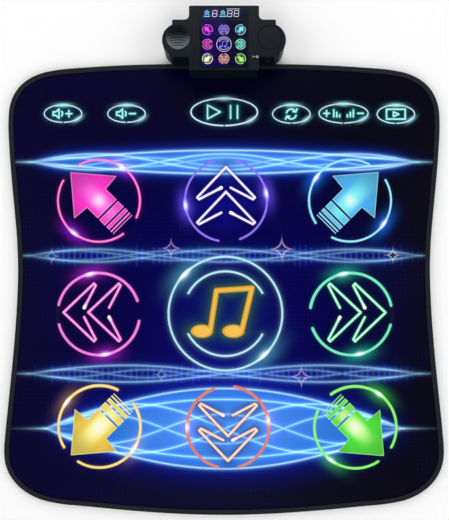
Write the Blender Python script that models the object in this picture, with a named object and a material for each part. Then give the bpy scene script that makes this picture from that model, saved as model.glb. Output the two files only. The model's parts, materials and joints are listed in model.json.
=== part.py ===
"""Electronic dance mat: a padded floor mat with nine step pads, a row of touch keys and a console at the back.

Metres, +Z up, +X to the player's right, +Y from the player towards the console.
The floor is at z = 0 and the origin lies under the middle of the whole object.
"""
import bmesh
import bpy
from math import asin, cos, pi, radians, sin, sqrt
from mathutils import Vector

# Plan of the mat
mat_length = 0.922
console_overhang = 0.096
shoulder_half = 0.4405
shoulder_below_back = 0.113
waist_half = 0.421
waist_below_back = 0.416
hip_half = 0.4495
hip_above_front = 0.127
back_corner_x = 0.350
back_corner_drop = 0.014
back_corner_angle = radians(9)
front_corner_x = 0.345
front_corner_rise = 0.0245
front_corner_angle = radians(8.5)

# Layers of the mat, from the floor upwards
touch_gap = 0.0003
backing_thickness = 0.0012
film_thickness = 0.0004
foam_thickness = 0.0053
cover_thickness = 0.0010
binding_width = 0.011
binding_thickness = 0.0009
binding_edge_radius = 0.0012

# Step pads
pad_radius = 0.088
pad_spacing = 0.0224
pad_travel = 0.0020
pad_skirt = 0.0020
pad_dome = 0.0020
pad_dome_width = 0.014
pad_clearance = 0.0003
contact_radius = 0.030
foam_clearance = 0.0005
pad_sides = 48
foam_hole_sides = 32

# Touch keys
key_margin = 0.003
key_travel = 0.0012
key_skirt = 0.0020
key_dome = 0.0009
key_dome_width = 0.005
key_stem_radius = 0.006
level_key_bridge = 0.006
key_sides = 20

# Console, measured from the line through the middles of its two ears
centre_half = 0.0685
centre_front = 0.0597
centre_back = 0.067
side_half = 0.10165
side_front = 0.0343
side_back = 0.0397
ear_x = 0.0891
ear_radius = 0.0322
inner_fillet = 0.009
corner_radius = 0.003
smallest_radius = 0.0008
corner_steps = 4
fillet_steps = 6
ear_steps = 20
console_top = 0.050
split_height = 0.022
console_wall = 0.0022
well_floor = 0.0036
top_edge = 0.0018
foot_height = 0.0016
foot_length = 0.040
foot_width = 0.010
foot_from_back = 0.0240
foot_edge = 0.0005

# Insets in the console's cover
window_half = 0.0475
icon_window_front = 0.0558
icon_window_back = 0.0370
digit_window_front = 0.0400
digit_window_back = 0.0626
inset_clearance = 0.0003
inset_ledge = 0.0016
inset_sink = 0.0004
dish_x = 0.0897
dish_y = 0.0046
dish_radius = 0.0240
dish_depth = 0.0022
dish_thickness = 0.0014
dish_rim = 0.0012
dish_sides = 48
slot_width = 0.0021
slot_pitch = 0.0052
slot_count = 7
slot_arch = 0.030
slot_steps = 8
icon_column = 0.0326
icon_row = 0.0287
icon_row_y = -0.0084
led_radius = 0.0025
led_height = 0.0020
well_radius = 0.0085
centre_well_radius = 0.0120

# Inside the console
board_height = 0.0260
board_thickness = 0.0016
board_half = 0.0540
board_margin = 0.004
post_radius = 0.003
post_x = 0.048
light_guide_margin = 0.0006
speaker_flange_radius = 0.0230
speaker_flange = 0.0020
speaker_flange_width = 0.0020
speaker_depth = 0.0150
magnet_radius = 0.0120
cone_radius = 0.0190
cone_thickness = 0.0006
cone_clearance = 0.0010

# Battery bay
cell_radius = 0.00725
cell_length = 0.0495
cell_nib = 0.0010
cell_nib_radius = 0.0027
cell_gap = 0.0004
cell_count = 3
cell_front = -0.0190
contact_plate = 0.0006
door_thickness = 0.0020
door_travel = 0.060
door_tongue = 0.0012
door_tongue_thickness = 0.0006
door_clearance = 0.0003
door_margin = 0.0030
tongue_setback = 0.0005

# Power switch in the right front wall
switch_x = 0.0860
switch_height = 0.0330
slider_width = 0.0050
slider_thickness = 0.0034
slider_reach = 0.0014
slider_travel = 0.0040
slider_clearance = 0.0003
switch_body_width = 0.0160
switch_body_depth = 0.0060
switch_body_height = 0.0090

# Fasteners and the clamp that holds the console on the mat
screw_radius = 0.0014
screw_head_radius = 0.0028
screw_head = 0.0016
screw_clearance = 0.0003
case_boss_radius = 0.0042
case_screw_x = 0.0605
case_screw_front = -0.0200
case_screw_back = 0.0560
case_screw_length = 0.0250
clamp_half = 0.058
clamp_width = 0.008
clamp_behind_front = 0.0030
clamp_screw_x = 0.045
clamp_screw_length = 0.0130
tail_half = 0.012
tail_thickness = 0.0004
tail_behind_clamp = 0.0040
tail_clearance = 0.0005

# Rows and columns of the step pads and keys, measured in from the mat's edges
pad_column_from_waist = 0.1640
pad_row_from_back = 0.2798
pad_row_from_front = 0.1810
key_row_from_back = 0.1028
key_row_from_shoulder = 0.0900

# Each step pad: its column, its row, and how far the print sets it off from there
PADS = {
    "up_left": ("left", "back", 0.0020, -0.0004),
    "up": ("middle", "back", 0.0041, 0.0002),
    "up_right": ("right", "back", 0.0000, 0.0000),
    "left": ("left", "middle", 0.0014, -0.0008),
    "centre": ("middle", "middle", 0.0029, 0.0000),
    "right": ("right", "middle", 0.0020, -0.0008),
    "down_left": ("left", "front", 0.0030, 0.0003),
    "down": ("middle", "front", 0.0082, -0.0013),
    "down_right": ("right", "front", 0.0109, -0.0013),
}

# Each key: the end of the row that it is set out from, its distances from there and from the row,
# half the width and height of its printed outline, and which part of the outline is the key
KEYS = {
    "volume_up": ("left", 0.0221, 0.0003, 0.0398, 0.0194, "whole"),
    "volume_down": ("left", 0.1516, 0.0003, 0.0398, 0.0194, "whole"),
    "start_pause": ("middle", 0.0004, 0.0037, 0.0694, 0.0296, "whole"),
    "mode": ("right", -0.2132, -0.0004, 0.0398, 0.0204, "whole"),
    "level_up": ("right", -0.1067, 0.0009, 0.0520, 0.0214, "left half"),
    "level_down": ("right", -0.1067, 0.0009, 0.0520, 0.0214, "right half"),
    "demo": ("right", 0.0000, -0.0008, 0.0398, 0.0204, "whole"),
}

# Heights and places that follow from the sizes
overall_length = mat_length + console_overhang
mat_front_y = -overall_length / 2
mat_back_y = mat_front_y + mat_length
console_y = overall_length / 2 - centre_back
film_low = backing_thickness + touch_gap
film_top = film_low + film_thickness
foam_low = film_top + touch_gap
foam_top = foam_low + foam_thickness
cover_low = foam_top + touch_gap
cover_top = cover_low + cover_thickness
binding_top = cover_top + touch_gap + binding_thickness
layer_inset = binding_thickness + touch_gap
backing_inset = binding_width + touch_gap
console_inside = console_top - console_wall
base_low = foot_height + touch_gap
front_floor = cover_top + touch_gap
relief_floor = binding_top + touch_gap
mat_edge = mat_back_y - console_y
step_y = mat_edge + touch_gap * 3
relief_y = mat_edge - binding_width - touch_gap * 10
clamp_y = -centre_front + clamp_behind_front + clamp_width / 2
clamp_top = cover_low - touch_gap
tail_y = clamp_y + clamp_width / 2 + tail_behind_clamp
board_top = board_height + board_thickness
pad_column = waist_half - pad_column_from_waist
pad_columns = {"left": -pad_column, "middle": 0, "right": pad_column}
pad_rows = {"back": mat_back_y - pad_row_from_back, "front": mat_front_y + pad_row_from_front}
pad_rows["middle"] = (pad_rows["back"] + pad_rows["front"]) / 2
centre_pad_radius = pad_rows["back"] - pad_rows["middle"] - pad_spacing - pad_radius
key_row_end = shoulder_half - key_row_from_shoulder
key_starts = {"left": -key_row_end, "middle": 0, "right": key_row_end}
key_row_y = mat_back_y - key_row_from_back


def material(name, colour, roughness, metallic=0.0):
    made = bpy.data.materials.new(name)
    made.use_nodes = True
    shader = made.node_tree.nodes["Principled BSDF"]
    shader.inputs["Base Color"].default_value = (*colour, 1.0)
    shader.inputs["Roughness"].default_value = roughness
    shader.inputs["Metallic"].default_value = metallic
    made.diffuse_color = (*colour, 1.0)
    return made


def finish(name, bm, look, parent=None, place=(0, 0, 0), smooth=True):
    """Turns a bmesh into a named object."""
    bmesh.ops.remove_doubles(bm, verts=bm.verts, dist=0.000001)
    bmesh.ops.recalc_face_normals(bm, faces=bm.faces)
    mesh = bpy.data.meshes.new(name)
    bm.to_mesh(mesh)
    bm.free()
    made = bpy.data.objects.new(name, mesh)
    bpy.context.scene.collection.objects.link(made)
    made.location = place
    made.parent = parent
    mesh.materials.append(look)
    if smooth:
        mesh.shade_smooth()
        mesh.set_sharp_from_angle(angle=radians(35))
    return made


def empty(name, place, parent=None):
    made = bpy.data.objects.new(name, None)
    bpy.context.scene.collection.objects.link(made)
    made.location = place
    made.parent = parent
    return made


def add_ring(bm, points, z):
    return [bm.verts.new((x, y, z)) for x, y in points]


def add_prism(bm, points, low, high):
    """A straight column over one closed outline."""
    bottom = add_ring(bm, points, low)
    top = add_ring(bm, points, high)
    count = len(points)
    for i in range(count):
        j = (i + 1) % count
        bm.faces.new((bottom[i], bottom[j], top[j], top[i]))
    bm.faces.new(list(reversed(bottom)))
    bm.faces.new(top)


def add_stack(bm, rings):
    """A closed body through rings of the same count, each a list of points and a height."""
    loops = [add_ring(bm, points, z) for points, z in rings]
    for lower, upper in zip(loops, loops[1:]):
        count = len(lower)
        for i in range(count):
            j = (i + 1) % count
            bm.faces.new((lower[i], lower[j], upper[j], upper[i]))
    bm.faces.new(list(reversed(loops[0])))
    bm.faces.new(loops[-1])


def add_box(bm, low, high):
    (x0, y0, z0), (x1, y1, z1) = low, high
    add_prism(bm, [(x0, y0), (x1, y0), (x1, y1), (x0, y1)], z0, z1)


def add_sheet(bm, loops, low, high):
    """A flat sheet whose first loop is its edge and whose other loops are holes."""
    edges = []
    for points in loops:
        ring = add_ring(bm, points, low)
        edges += [bm.edges.new((ring[i], ring[(i + 1) % len(ring)])) for i in range(len(ring))]
    filled = bmesh.ops.triangle_fill(bm, use_beauty=True, use_dissolve=False, edges=edges)
    faces = [item for item in filled["geom"] if isinstance(item, bmesh.types.BMFace)]
    raised = bmesh.ops.extrude_face_region(bm, geom=faces, use_keep_orig=True)
    top = [item for item in raised["geom"] if isinstance(item, bmesh.types.BMVert)]
    bmesh.ops.translate(bm, verts=top, vec=(0, 0, high - low))


def turned(bm, profile, sides, middle=(0, 0)):
    """A closed body of revolution about a vertical axis, from a closed profile of (radius, height)."""
    loops = []
    for i in range(sides):
        turn = 2 * pi * i / sides
        loops.append([
            bm.verts.new((middle[0] + r * cos(turn), middle[1] + r * sin(turn), z)) for r, z in profile
        ])
    count = len(profile)
    for i in range(sides):
        here, after = loops[i], loops[(i + 1) % sides]
        for k in range(count):
            m = (k + 1) % count
            corners = [here[k], after[k], after[m], here[m]]
            if profile[k][0] == 0 and profile[m][0] == 0:
                continue
            if profile[k][0] == 0:
                corners.remove(after[k])
            if profile[m][0] == 0:
                corners.remove(after[m])
            bm.faces.new(corners)


def circle(radius, sides, middle=(0, 0), around=False):
    """Points on a circle, or on the polygon round it whose sides touch it."""
    reach = radius / cos(pi / sides) if around else radius
    return [
        (middle[0] + reach * cos(2 * pi * i / sides), middle[1] + reach * sin(2 * pi * i / sides))
        for i in range(sides)
    ]


def rectangle(x0, y0, x1, y1):
    return [(x0, y0), (x1, y0), (x1, y1), (x0, y1)]


def cubic(start, first, second, end, steps):
    """Points along a cubic curve, without its end."""
    points = []
    for i in range(steps):
        t = i / steps
        weights = ((1 - t) ** 3, 3 * (1 - t) ** 2 * t, 3 * (1 - t) * t ** 2, t ** 3)
        corners = (start, first, second, end)
        points.append(tuple(sum(w * c[k] for w, c in zip(weights, corners)) for k in (0, 1)))
    return points


def mat_outline():
    """The mat's edge, anticlockwise: wide shoulders, a drawn-in waist and a fuller front."""
    shoulder_y = mat_back_y - shoulder_below_back
    waist_y = mat_back_y - waist_below_back
    hip_y = mat_front_y + hip_above_front
    back_y = mat_back_y - back_corner_drop
    front_y = mat_front_y + front_corner_rise
    third = 1 / 3
    back_x = back_corner_x
    front_x = front_corner_x
    toe = (cos(front_corner_angle), sin(front_corner_angle))
    heel = (cos(back_corner_angle), sin(back_corner_angle))
    toe_reach = (hip_half - front_x) * 0.57
    heel_reach = (shoulder_half - back_x) * 0.61
    right = []
    right += cubic(
        (0, mat_front_y), (front_x * third, mat_front_y),
        (front_x - front_x * third * toe[0], front_y - front_x * third * toe[1] * 0.75), (front_x, front_y), 5)
    right += cubic(
        (front_x, front_y), (front_x + toe_reach * toe[0], front_y + toe_reach * toe[1]),
        (hip_half, hip_y - (hip_y - front_y) * 0.54), (hip_half, hip_y), 8)
    right += cubic(
        (hip_half, hip_y), (hip_half, hip_y + (waist_y - hip_y) * 0.13),
        (waist_half, waist_y - (waist_y - hip_y) * 0.37), (waist_half, waist_y), 6)
    right += cubic(
        (waist_half, waist_y), (waist_half, waist_y + (shoulder_y - waist_y) * 0.30),
        (shoulder_half, shoulder_y - (shoulder_y - waist_y) * 0.36), (shoulder_half, shoulder_y), 5)
    right += cubic(
        (shoulder_half, shoulder_y), (shoulder_half, shoulder_y + (back_y - shoulder_y) * 0.60),
        (back_x + heel_reach * heel[0], back_y - heel_reach * heel[1]), (back_x, back_y), 8)
    right += cubic(
        (back_x, back_y), (back_x - back_x * third * heel[0], back_y + back_x * third * heel[1] * 0.75),
        (back_x * third, mat_back_y), (0, mat_back_y), 5)
    left = [(-x, y) for x, y in reversed(right[1:])]
    return right + [(0, mat_back_y)] + left


def moved_in(points, inset):
    """The outline moved inwards by one distance, corner by corner."""
    count = len(points)
    made = []
    for i in range(count):
        before = Vector(points[i]) - Vector(points[i - 1])
        after = Vector(points[(i + 1) % count]) - Vector(points[i])
        first = Vector((-before.y, before.x)).normalized()
        second = Vector((-after.y, after.x)).normalized()
        middle = (first + second).normalized()
        made.append(tuple(Vector(points[i]) + middle * (inset / middle.dot(first))))
    return made


def pad_place(name):
    column, row, aside, along = PADS[name]
    return pad_columns[column] + aside, pad_rows[row] + along


def key_place(name):
    end, aside, along = KEYS[name][:3]
    return key_starts[end] + aside, key_row_y + along


def radius_of(name):
    return centre_pad_radius if name == "centre" else pad_radius


def key_outline(half_width, half_height, half, inset, sides):
    """An ellipse, or one half of it beside the bridge, moved inwards by the inset."""
    across = half_width - inset
    along = half_height - inset
    if half == "whole":
        turns = [2 * pi * i / sides for i in range(sides)]
        return [(across * cos(turn), along * sin(turn)) for turn in turns]
    chord = level_key_bridge / 2 + inset
    start = pi / 2 - asin(chord / across)
    count = sides * 2 // 3
    turns = [-start + 2 * start * i / count for i in range(count + 1)]
    right = [(across * cos(turn), along * sin(turn)) for turn in turns]
    return right if half == "right half" else [(-x, y) for x, y in reversed(right)]


def key_holes(extra, sides):
    holes = []
    for name, (_, _, _, half_width, half_height, half) in KEYS.items():
        x, y = key_place(name)
        outline = key_outline(half_width + key_margin, half_height + key_margin, half, -extra, sides)
        holes.append([(x + px, y + py) for px, py in outline])
    return holes


def clamp_window(clearance):
    y = console_y + clamp_y
    reach = clamp_half + clearance
    return rectangle(-reach, y - clamp_width / 2 - clearance, reach, y + clamp_width / 2 + clearance)


def tail_slit():
    y = console_y + tail_y
    reach = tail_half + tail_clearance
    depth = tail_thickness / 2 + tail_clearance
    return rectangle(-reach, y - depth, reach, y + depth)


def clamp_screw_holes(radius, sides=12):
    y = console_y + clamp_y
    return [circle(radius, sides, (side * clamp_screw_x, y)) for side in (-1, 1)]


def make_mat(looks):
    outline = mat_outline()
    inner = moved_in(outline, layer_inset)

    backing = bmesh.new()
    add_sheet(backing, [moved_in(outline, backing_inset), clamp_window(touch_gap)], 0, backing_thickness)
    finish("backing", backing, looks["backing"])

    film = bmesh.new()
    add_sheet(film, [inner, clamp_window(touch_gap)], film_low, film_top)
    finish("contact_film", film, looks["film"])

    foam = bmesh.new()
    holes = [
        circle(radius_of(name) + foam_clearance, foam_hole_sides, pad_place(name), around=True) for name in PADS
    ]
    holes += key_holes(foam_clearance, key_sides)
    holes += [clamp_window(touch_gap), tail_slit()]
    add_sheet(foam, [inner] + holes, foam_low, foam_top)
    finish("foam_core", foam, looks["foam"])

    cover = bmesh.new()
    holes = [circle(radius_of(name) + pad_clearance, pad_sides, pad_place(name)) for name in PADS]
    holes += key_holes(pad_clearance, key_sides)
    holes += clamp_screw_holes(screw_radius + screw_clearance) + [tail_slit()]
    add_sheet(cover, [inner] + holes, cover_low, cover_top)
    finish("printed_cover", cover, looks["print"])

    make_binding(outline, looks["binding"])


def make_binding(outline, look):
    """The folded tape round the mat: an upper flange, a rounded edge and a lower flange."""
    inside = binding_thickness
    profile = [
        (0, binding_top - binding_edge_radius),
        (binding_edge_radius, binding_top),
        (binding_width, binding_top),
        (binding_width, binding_top - inside),
        (inside, binding_top - inside),
        (inside, inside),
        (binding_width, inside),
        (binding_width, 0),
        (0, 0),
    ]
    bm = bmesh.new()
    rings = [add_ring(bm, moved_in(outline, inset), z) for inset, z in profile]
    count = len(outline)
    for ring, after in zip(rings, rings[1:] + rings[:1]):
        for i in range(count):
            j = (i + 1) % count
            bm.faces.new((ring[i], ring[j], after[j], after[i]))
    finish("edge_binding", bm, look)


def make_pads(looks):
    """Each step pad is a domed disc over a contact puck; its origin is the middle of its top rim."""
    skirt_low = -pad_skirt
    puck_top = skirt_low - touch_gap
    puck_low = film_top + touch_gap + pad_travel - cover_top
    for name in PADS:
        x, y = pad_place(name)
        radius = radius_of(name)
        axis = empty("axis_" + name, (x, y, cover_top))
        pad = bmesh.new()
        add_stack(pad, [
            (circle(radius, pad_sides), skirt_low),
            (circle(radius, pad_sides), 0),
            (circle(radius - pad_dome_width * 0.4, pad_sides), pad_dome * 0.65),
            (circle(radius - pad_dome_width, pad_sides), pad_dome),
        ])
        finish("pad_" + name, pad, looks["pad_" + name], axis)
        puck = bmesh.new()
        add_stack(puck, [
            (circle(contact_radius, 24), puck_low),
            (circle(contact_radius, 24), puck_top),
        ])
        finish("contact_" + name, puck, looks["contact"], axis)


def make_keys(look):
    """Each key is a low domed button with a stem that reaches down to the contact film."""
    stem_low = film_top + touch_gap + key_travel - cover_top
    for name, (_, _, _, half_width, half_height, half) in KEYS.items():
        across = half_width + key_margin
        along = half_height + key_margin
        rim = key_outline(across, along, half, 0, key_sides)
        crown = key_outline(across, along, half, key_dome_width, key_sides)
        side = {"whole": 0, "left half": -1, "right half": 1}[half]
        middle = side * (across + level_key_bridge / 2) / 2
        shrink = key_stem_radius / along
        stem = [(middle + (px - middle) * shrink, py * shrink) for px, py in rim]
        bm = bmesh.new()
        add_stack(bm, [
            (stem, stem_low),
            (stem, -key_skirt),
            (rim, -key_skirt),
            (rim, 0),
            (crown, key_dome),
        ])
        finish("key_" + name, bm, look, place=(*key_place(name), cover_top))


def arc(middle, radius, start, end, steps):
    """Points along an arc, ends included, for angles in degrees."""
    turns = [radians(start + (end - start) * i / steps) for i in range(steps + 1)]
    return [(middle[0] + radius * cos(turn), middle[1] + radius * sin(turn)) for turn in turns]


def console_outline(inset=0.0):
    """The console seen from above: a centre block, a wider side block and two round ears."""
    centre = centre_half - inset
    front = -centre_front + inset
    back = centre_back - inset
    side = side_half - inset
    low = -side_front + inset
    high = side_back - inset
    ear = ear_radius - inset
    corner = max(corner_radius - inset, smallest_radius)
    fillet = inner_fillet + inset
    notch = corner_radius + inset
    reach = sqrt(ear ** 2 - (side - ear_x) ** 2)
    swing = 90 - asin((side - ear_x) / ear) * 180 / pi
    right = []
    right += arc((centre - corner, front + corner), corner, -90, 0, corner_steps)
    right += arc((centre + notch, low - notch), notch, 180, 90, corner_steps)
    right += arc((side - corner, low + corner), corner, -90, 0, corner_steps)
    right += arc((ear_x, 0), ear, -swing, swing, ear_steps)
    right += arc((side - corner, high - corner), corner, 0, 90, corner_steps)
    right += arc((centre + fillet, high + fillet), fillet, -90, -180, fillet_steps)
    right += arc((centre - corner, back - corner), corner, 0, 90, corner_steps)
    assert reach < high and reach < -low
    left = [(-x, y) for x, y in reversed(right)]
    return right + left


def cutter(name, bm, parent):
    made = finish(name, bm, bpy.data.materials["cutter"], parent, smooth=False)
    made.hide_render = True
    made.display_type = "WIRE"
    return made


def boolean(piece, tool, operation):
    step = piece.modifiers.new(tool.name, "BOOLEAN")
    step.operation = operation
    step.solver = "EXACT"
    step.object = tool


def case_screw_places():
    return [(side * case_screw_x, y) for side in (-1, 1) for y in (case_screw_front, case_screw_back)]


def battery_bay():
    """Half the bay's width, and where it starts and ends."""
    half = cell_count * (cell_radius + cell_gap / 2) + cell_gap
    start = cell_front - contact_plate - touch_gap
    end = cell_front + cell_length + cell_nib + contact_plate + 2 * touch_gap
    return half, start, end


def make_console_base(looks, console):
    """The lower shell: it steps up over the mat's edge and stands on two feet behind it."""
    body = bmesh.new()
    add_prism(body, console_outline(), base_low, split_height)
    base = finish("console_base", body, looks["case"], console)

    hollow = bmesh.new()
    add_prism(hollow, console_outline(console_wall), relief_floor + console_wall, split_height + console_wall)
    boolean(base, cutter("cut_hollow", hollow, console), "DIFFERENCE")

    well = bmesh.new()
    add_prism(well, console_outline(console_wall), base_low + well_floor, relief_floor + console_wall * 2)
    everything = well.verts[:] + well.edges[:] + well.faces[:]
    sliced = bmesh.ops.bisect_plane(
        well, geom=everything, dist=0.000001, plane_co=(0, step_y + console_wall, 0), plane_no=(0, -1, 0),
        clear_outer=True)
    rim = [item for item in sliced["geom_cut"] if isinstance(item, bmesh.types.BMEdge)]
    bmesh.ops.contextual_create(well, geom=rim)
    boolean(base, cutter("cut_well", well, console), "DIFFERENCE")

    pocket = bmesh.new()
    reach = side_half + ear_radius
    add_box(pocket, (-reach, -centre_front - console_wall, -console_wall), (reach, relief_y, front_floor))
    add_box(pocket, (-reach, relief_y - touch_gap / 2, -console_wall), (reach, step_y, relief_floor))
    union_pocket = cutter("cut_pocket", pocket, console)
    step = base.modifiers.new("cut_pocket", "BOOLEAN")
    step.operation = "DIFFERENCE"
    step.solver = "EXACT"
    step.use_self = True
    step.object = union_pocket

    posts = bmesh.new()
    floor = base_low + well_floor / 2
    for x, y in case_screw_places():
        add_prism(posts, circle(case_boss_radius, 16, (x, y)), floor, split_height)
    for x, y in board_post_places():
        low = floor if y > step_y else relief_floor + console_wall / 2
        add_prism(posts, circle(post_radius, 10, (x, y)), low, board_height - touch_gap)
    half, start, end = battery_bay()
    wall_top = base_low + well_floor + 2 * cell_radius
    inner = half + console_wall / 2
    for side in (-1, 1):
        add_box(
            posts, (side * inner - console_wall / 2, start - console_wall, floor),
            (side * inner + console_wall / 2, end + console_wall, wall_top))
    boolean(base, cutter("add_posts", posts, console), "UNION")

    boss = bmesh.new()
    for side in (-1, 1):
        top = clamp_screw_low() + clamp_screw_length + console_wall
        add_prism(
            boss, circle(case_boss_radius, 14, (side * clamp_screw_x, clamp_y)), front_floor + console_wall / 2, top)
    boolean(base, cutter("add_clamp_bosses", boss, console), "UNION")

    holes = bmesh.new()
    bore = screw_radius + screw_clearance
    head = screw_head_radius + screw_clearance
    for x, y in case_screw_places():
        add_stack(holes, [
            (circle(head, 14, (x, y)), base_low - console_wall),
            (circle(head, 14, (x, y)), case_screw_seat()),
            (circle(bore, 14, (x, y)), case_screw_seat()),
            (circle(bore, 14, (x, y)), split_height + console_wall),
        ])
    for side in (-1, 1):
        add_prism(
            holes, circle(bore, 12, (side * clamp_screw_x, clamp_y)), front_floor - console_wall,
            clamp_screw_low() + clamp_screw_length + screw_clearance)
    slit = tail_half + tail_clearance
    depth = tail_thickness / 2 + tail_clearance
    add_box(holes, (-slit, tail_y - depth, 0), (slit, tail_y + depth, split_height))
    boolean(base, cutter("cut_holes", holes, console), "DIFFERENCE")

    bay = bmesh.new()
    opening = half + touch_gap
    add_box(bay, (-opening, start - touch_gap, 0), (opening, end, base_low + well_floor + console_wall))
    boolean(base, cutter("cut_bay", bay, console), "DIFFERENCE")

    path = bmesh.new()
    wide = half + door_margin + door_clearance
    tongue = wide + door_tongue
    past = centre_back + console_wall
    front = start - door_margin - door_clearance
    add_box(path, (-wide, front, 0), (wide, past, base_low + door_thickness + door_clearance))
    boolean(base, cutter("cut_door", path, console), "DIFFERENCE")
    grooves = bmesh.new()
    middle = base_low + door_thickness / 2
    rise = door_tongue_thickness / 2 + door_clearance
    add_box(grooves, (-tongue, front, middle - rise), (tongue, past, middle + rise))
    boolean(base, cutter("cut_grooves", grooves, console), "DIFFERENCE")


def board_post_places():
    front = -centre_front + console_wall + board_margin * 2 + case_boss_radius
    back = centre_back - console_wall - board_margin * 2
    return [(side * post_x, y) for side in (-1, 1) for y in (front, back)]


def case_screw_seat():
    return base_low + screw_head + touch_gap * 2


def clamp_screw_low():
    """The underside of the clamp screws' heads, let into the clamp bar."""
    return touch_gap


def make_console_cover(looks, console):
    """The upper shell, with two windows, two round insets and the slot for the power switch."""
    low = split_height + touch_gap
    shoulder = console_top - top_edge
    outer = console_outline()
    bm = bmesh.new()
    rings = [
        (console_outline(console_wall), console_inside),
        (console_outline(console_wall), low),
        (outer, low),
        (outer, shoulder),
        (console_outline(top_edge * 0.3), console_top - top_edge * 0.3),
        (console_outline(top_edge), console_top),
    ]
    add_stack(bm, rings)
    cover = finish("console_cover", bm, looks["case"], console)

    posts = bmesh.new()
    for x, y in case_screw_places():
        add_prism(posts, circle(case_boss_radius, 16, (x, y)), low, console_inside + console_wall / 2)
    boolean(cover, cutter("add_cover_posts", posts, console), "UNION")

    holes = bmesh.new()
    above = console_top + console_wall
    below = console_inside - console_wall
    ledge = console_top - inset_ledge - inset_sink
    for front, back in window_spans():
        add_box(holes, (-window_half, front, ledge), (window_half, back, above))
    for side in (-1, 1):
        add_prism(holes, circle(dish_radius, dish_sides, (side * dish_x, dish_y)), below, above)
    bore = screw_radius + screw_clearance
    tip = case_screw_seat() + case_screw_length + screw_clearance
    for x, y in case_screw_places():
        add_prism(holes, circle(bore, 14, (x, y)), low - console_wall, tip)
    wide = slider_width / 2 + slider_clearance
    high = slider_thickness / 2 + slider_clearance
    add_box(
        holes,
        (switch_x - wide, -side_front - console_wall, switch_height - high),
        (switch_x + wide + slider_travel, -side_front + console_wall * 2, switch_height + high))
    boolean(cover, cutter("cut_insets", holes, console), "DIFFERENCE")

    light = bmesh.new()
    lip = console_wall
    for front, back in window_spans():
        add_box(light, (-window_half + lip, front + lip, below), (window_half - lip, back - lip, above))
    boolean(cover, cutter("cut_light", light, console), "DIFFERENCE")


def window_spans():
    return [(-icon_window_front, icon_window_back), (digit_window_front, digit_window_back)]


def make_insets(looks, console):
    """The two windows, the speaker's grille and the plain cap that mirrors it."""
    top = console_top - inset_sink
    low = top - inset_ledge + touch_gap
    names = ("icon_panel", "display_window")
    for name, (front, back) in zip(names, window_spans()):
        bm = bmesh.new()
        half = window_half - inset_clearance
        add_box(bm, (-half, front + inset_clearance, low), (half, back - inset_clearance, top))
        finish(name, bm, looks[name], console, smooth=False)

    radius = dish_radius - inset_clearance * 2
    rim = dish_rim
    sunk = console_top - dish_depth
    under = sunk - dish_thickness
    dish = bmesh.new()
    turned(dish, [
        (0, sunk), (0, under), (radius - rim, under), (radius, under + rim / 2), (radius, console_top),
        (radius - rim, console_top), (radius - rim * 1.6, console_top - rim / 2), (radius * 0.55, sunk + rim * 0.2),
    ], dish_sides)
    bmesh.ops.translate(dish, verts=dish.verts, vec=(-dish_x, dish_y, 0))
    grille = finish("speaker_grille", dish, looks["grille"], console)
    slots = bmesh.new()
    for i in range(slot_count):
        add_slot(slots, dish_y - radius * 0.62 + slot_pitch * i, radius - rim * 2.4, under, console_top)
    boolean(grille, cutter("cut_slots", slots, console), "DIFFERENCE")

    cap = bmesh.new()
    turned(cap, [
        (0, console_top - inset_sink), (0, under), (radius - rim, under), (radius, under + rim / 2),
        (radius, console_top - rim), (radius - rim / 2, console_top - inset_sink),
    ], dish_sides)
    bmesh.ops.translate(cap, verts=cap.verts, vec=(dish_x, dish_y, 0))
    finish("blank_cap", cap, looks["case"], console)


def add_slot(bm, crown_y, reach, low, high):
    """One arched slot across the dish: its middle is crown_y, and its ends hang lower."""
    offset = abs(crown_y - dish_y)
    half = sqrt(max(reach ** 2 - offset ** 2, 0)) * 0.88
    outer = []
    inner = []
    for i in range(slot_steps + 1):
        x = -half + 2 * half * i / slot_steps
        drop = slot_arch - sqrt(slot_arch ** 2 - (x * 0.8) ** 2)
        taper = slot_width / 2 * (1 - 0.6 * abs(x / half) ** 2)
        outer.append((x - dish_x, crown_y - drop + taper))
        inner.append((x - dish_x, crown_y - drop - taper))
    add_prism(bm, inner + list(reversed(outer)), low - console_wall, high + console_wall)


def led_places():
    return [
        (column * icon_column, icon_row_y + row * icon_row, centre_well_radius if row == column == 0 else well_radius)
        for row in (-1, 0, 1) for column in (-1, 0, 1)
    ]


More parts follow.
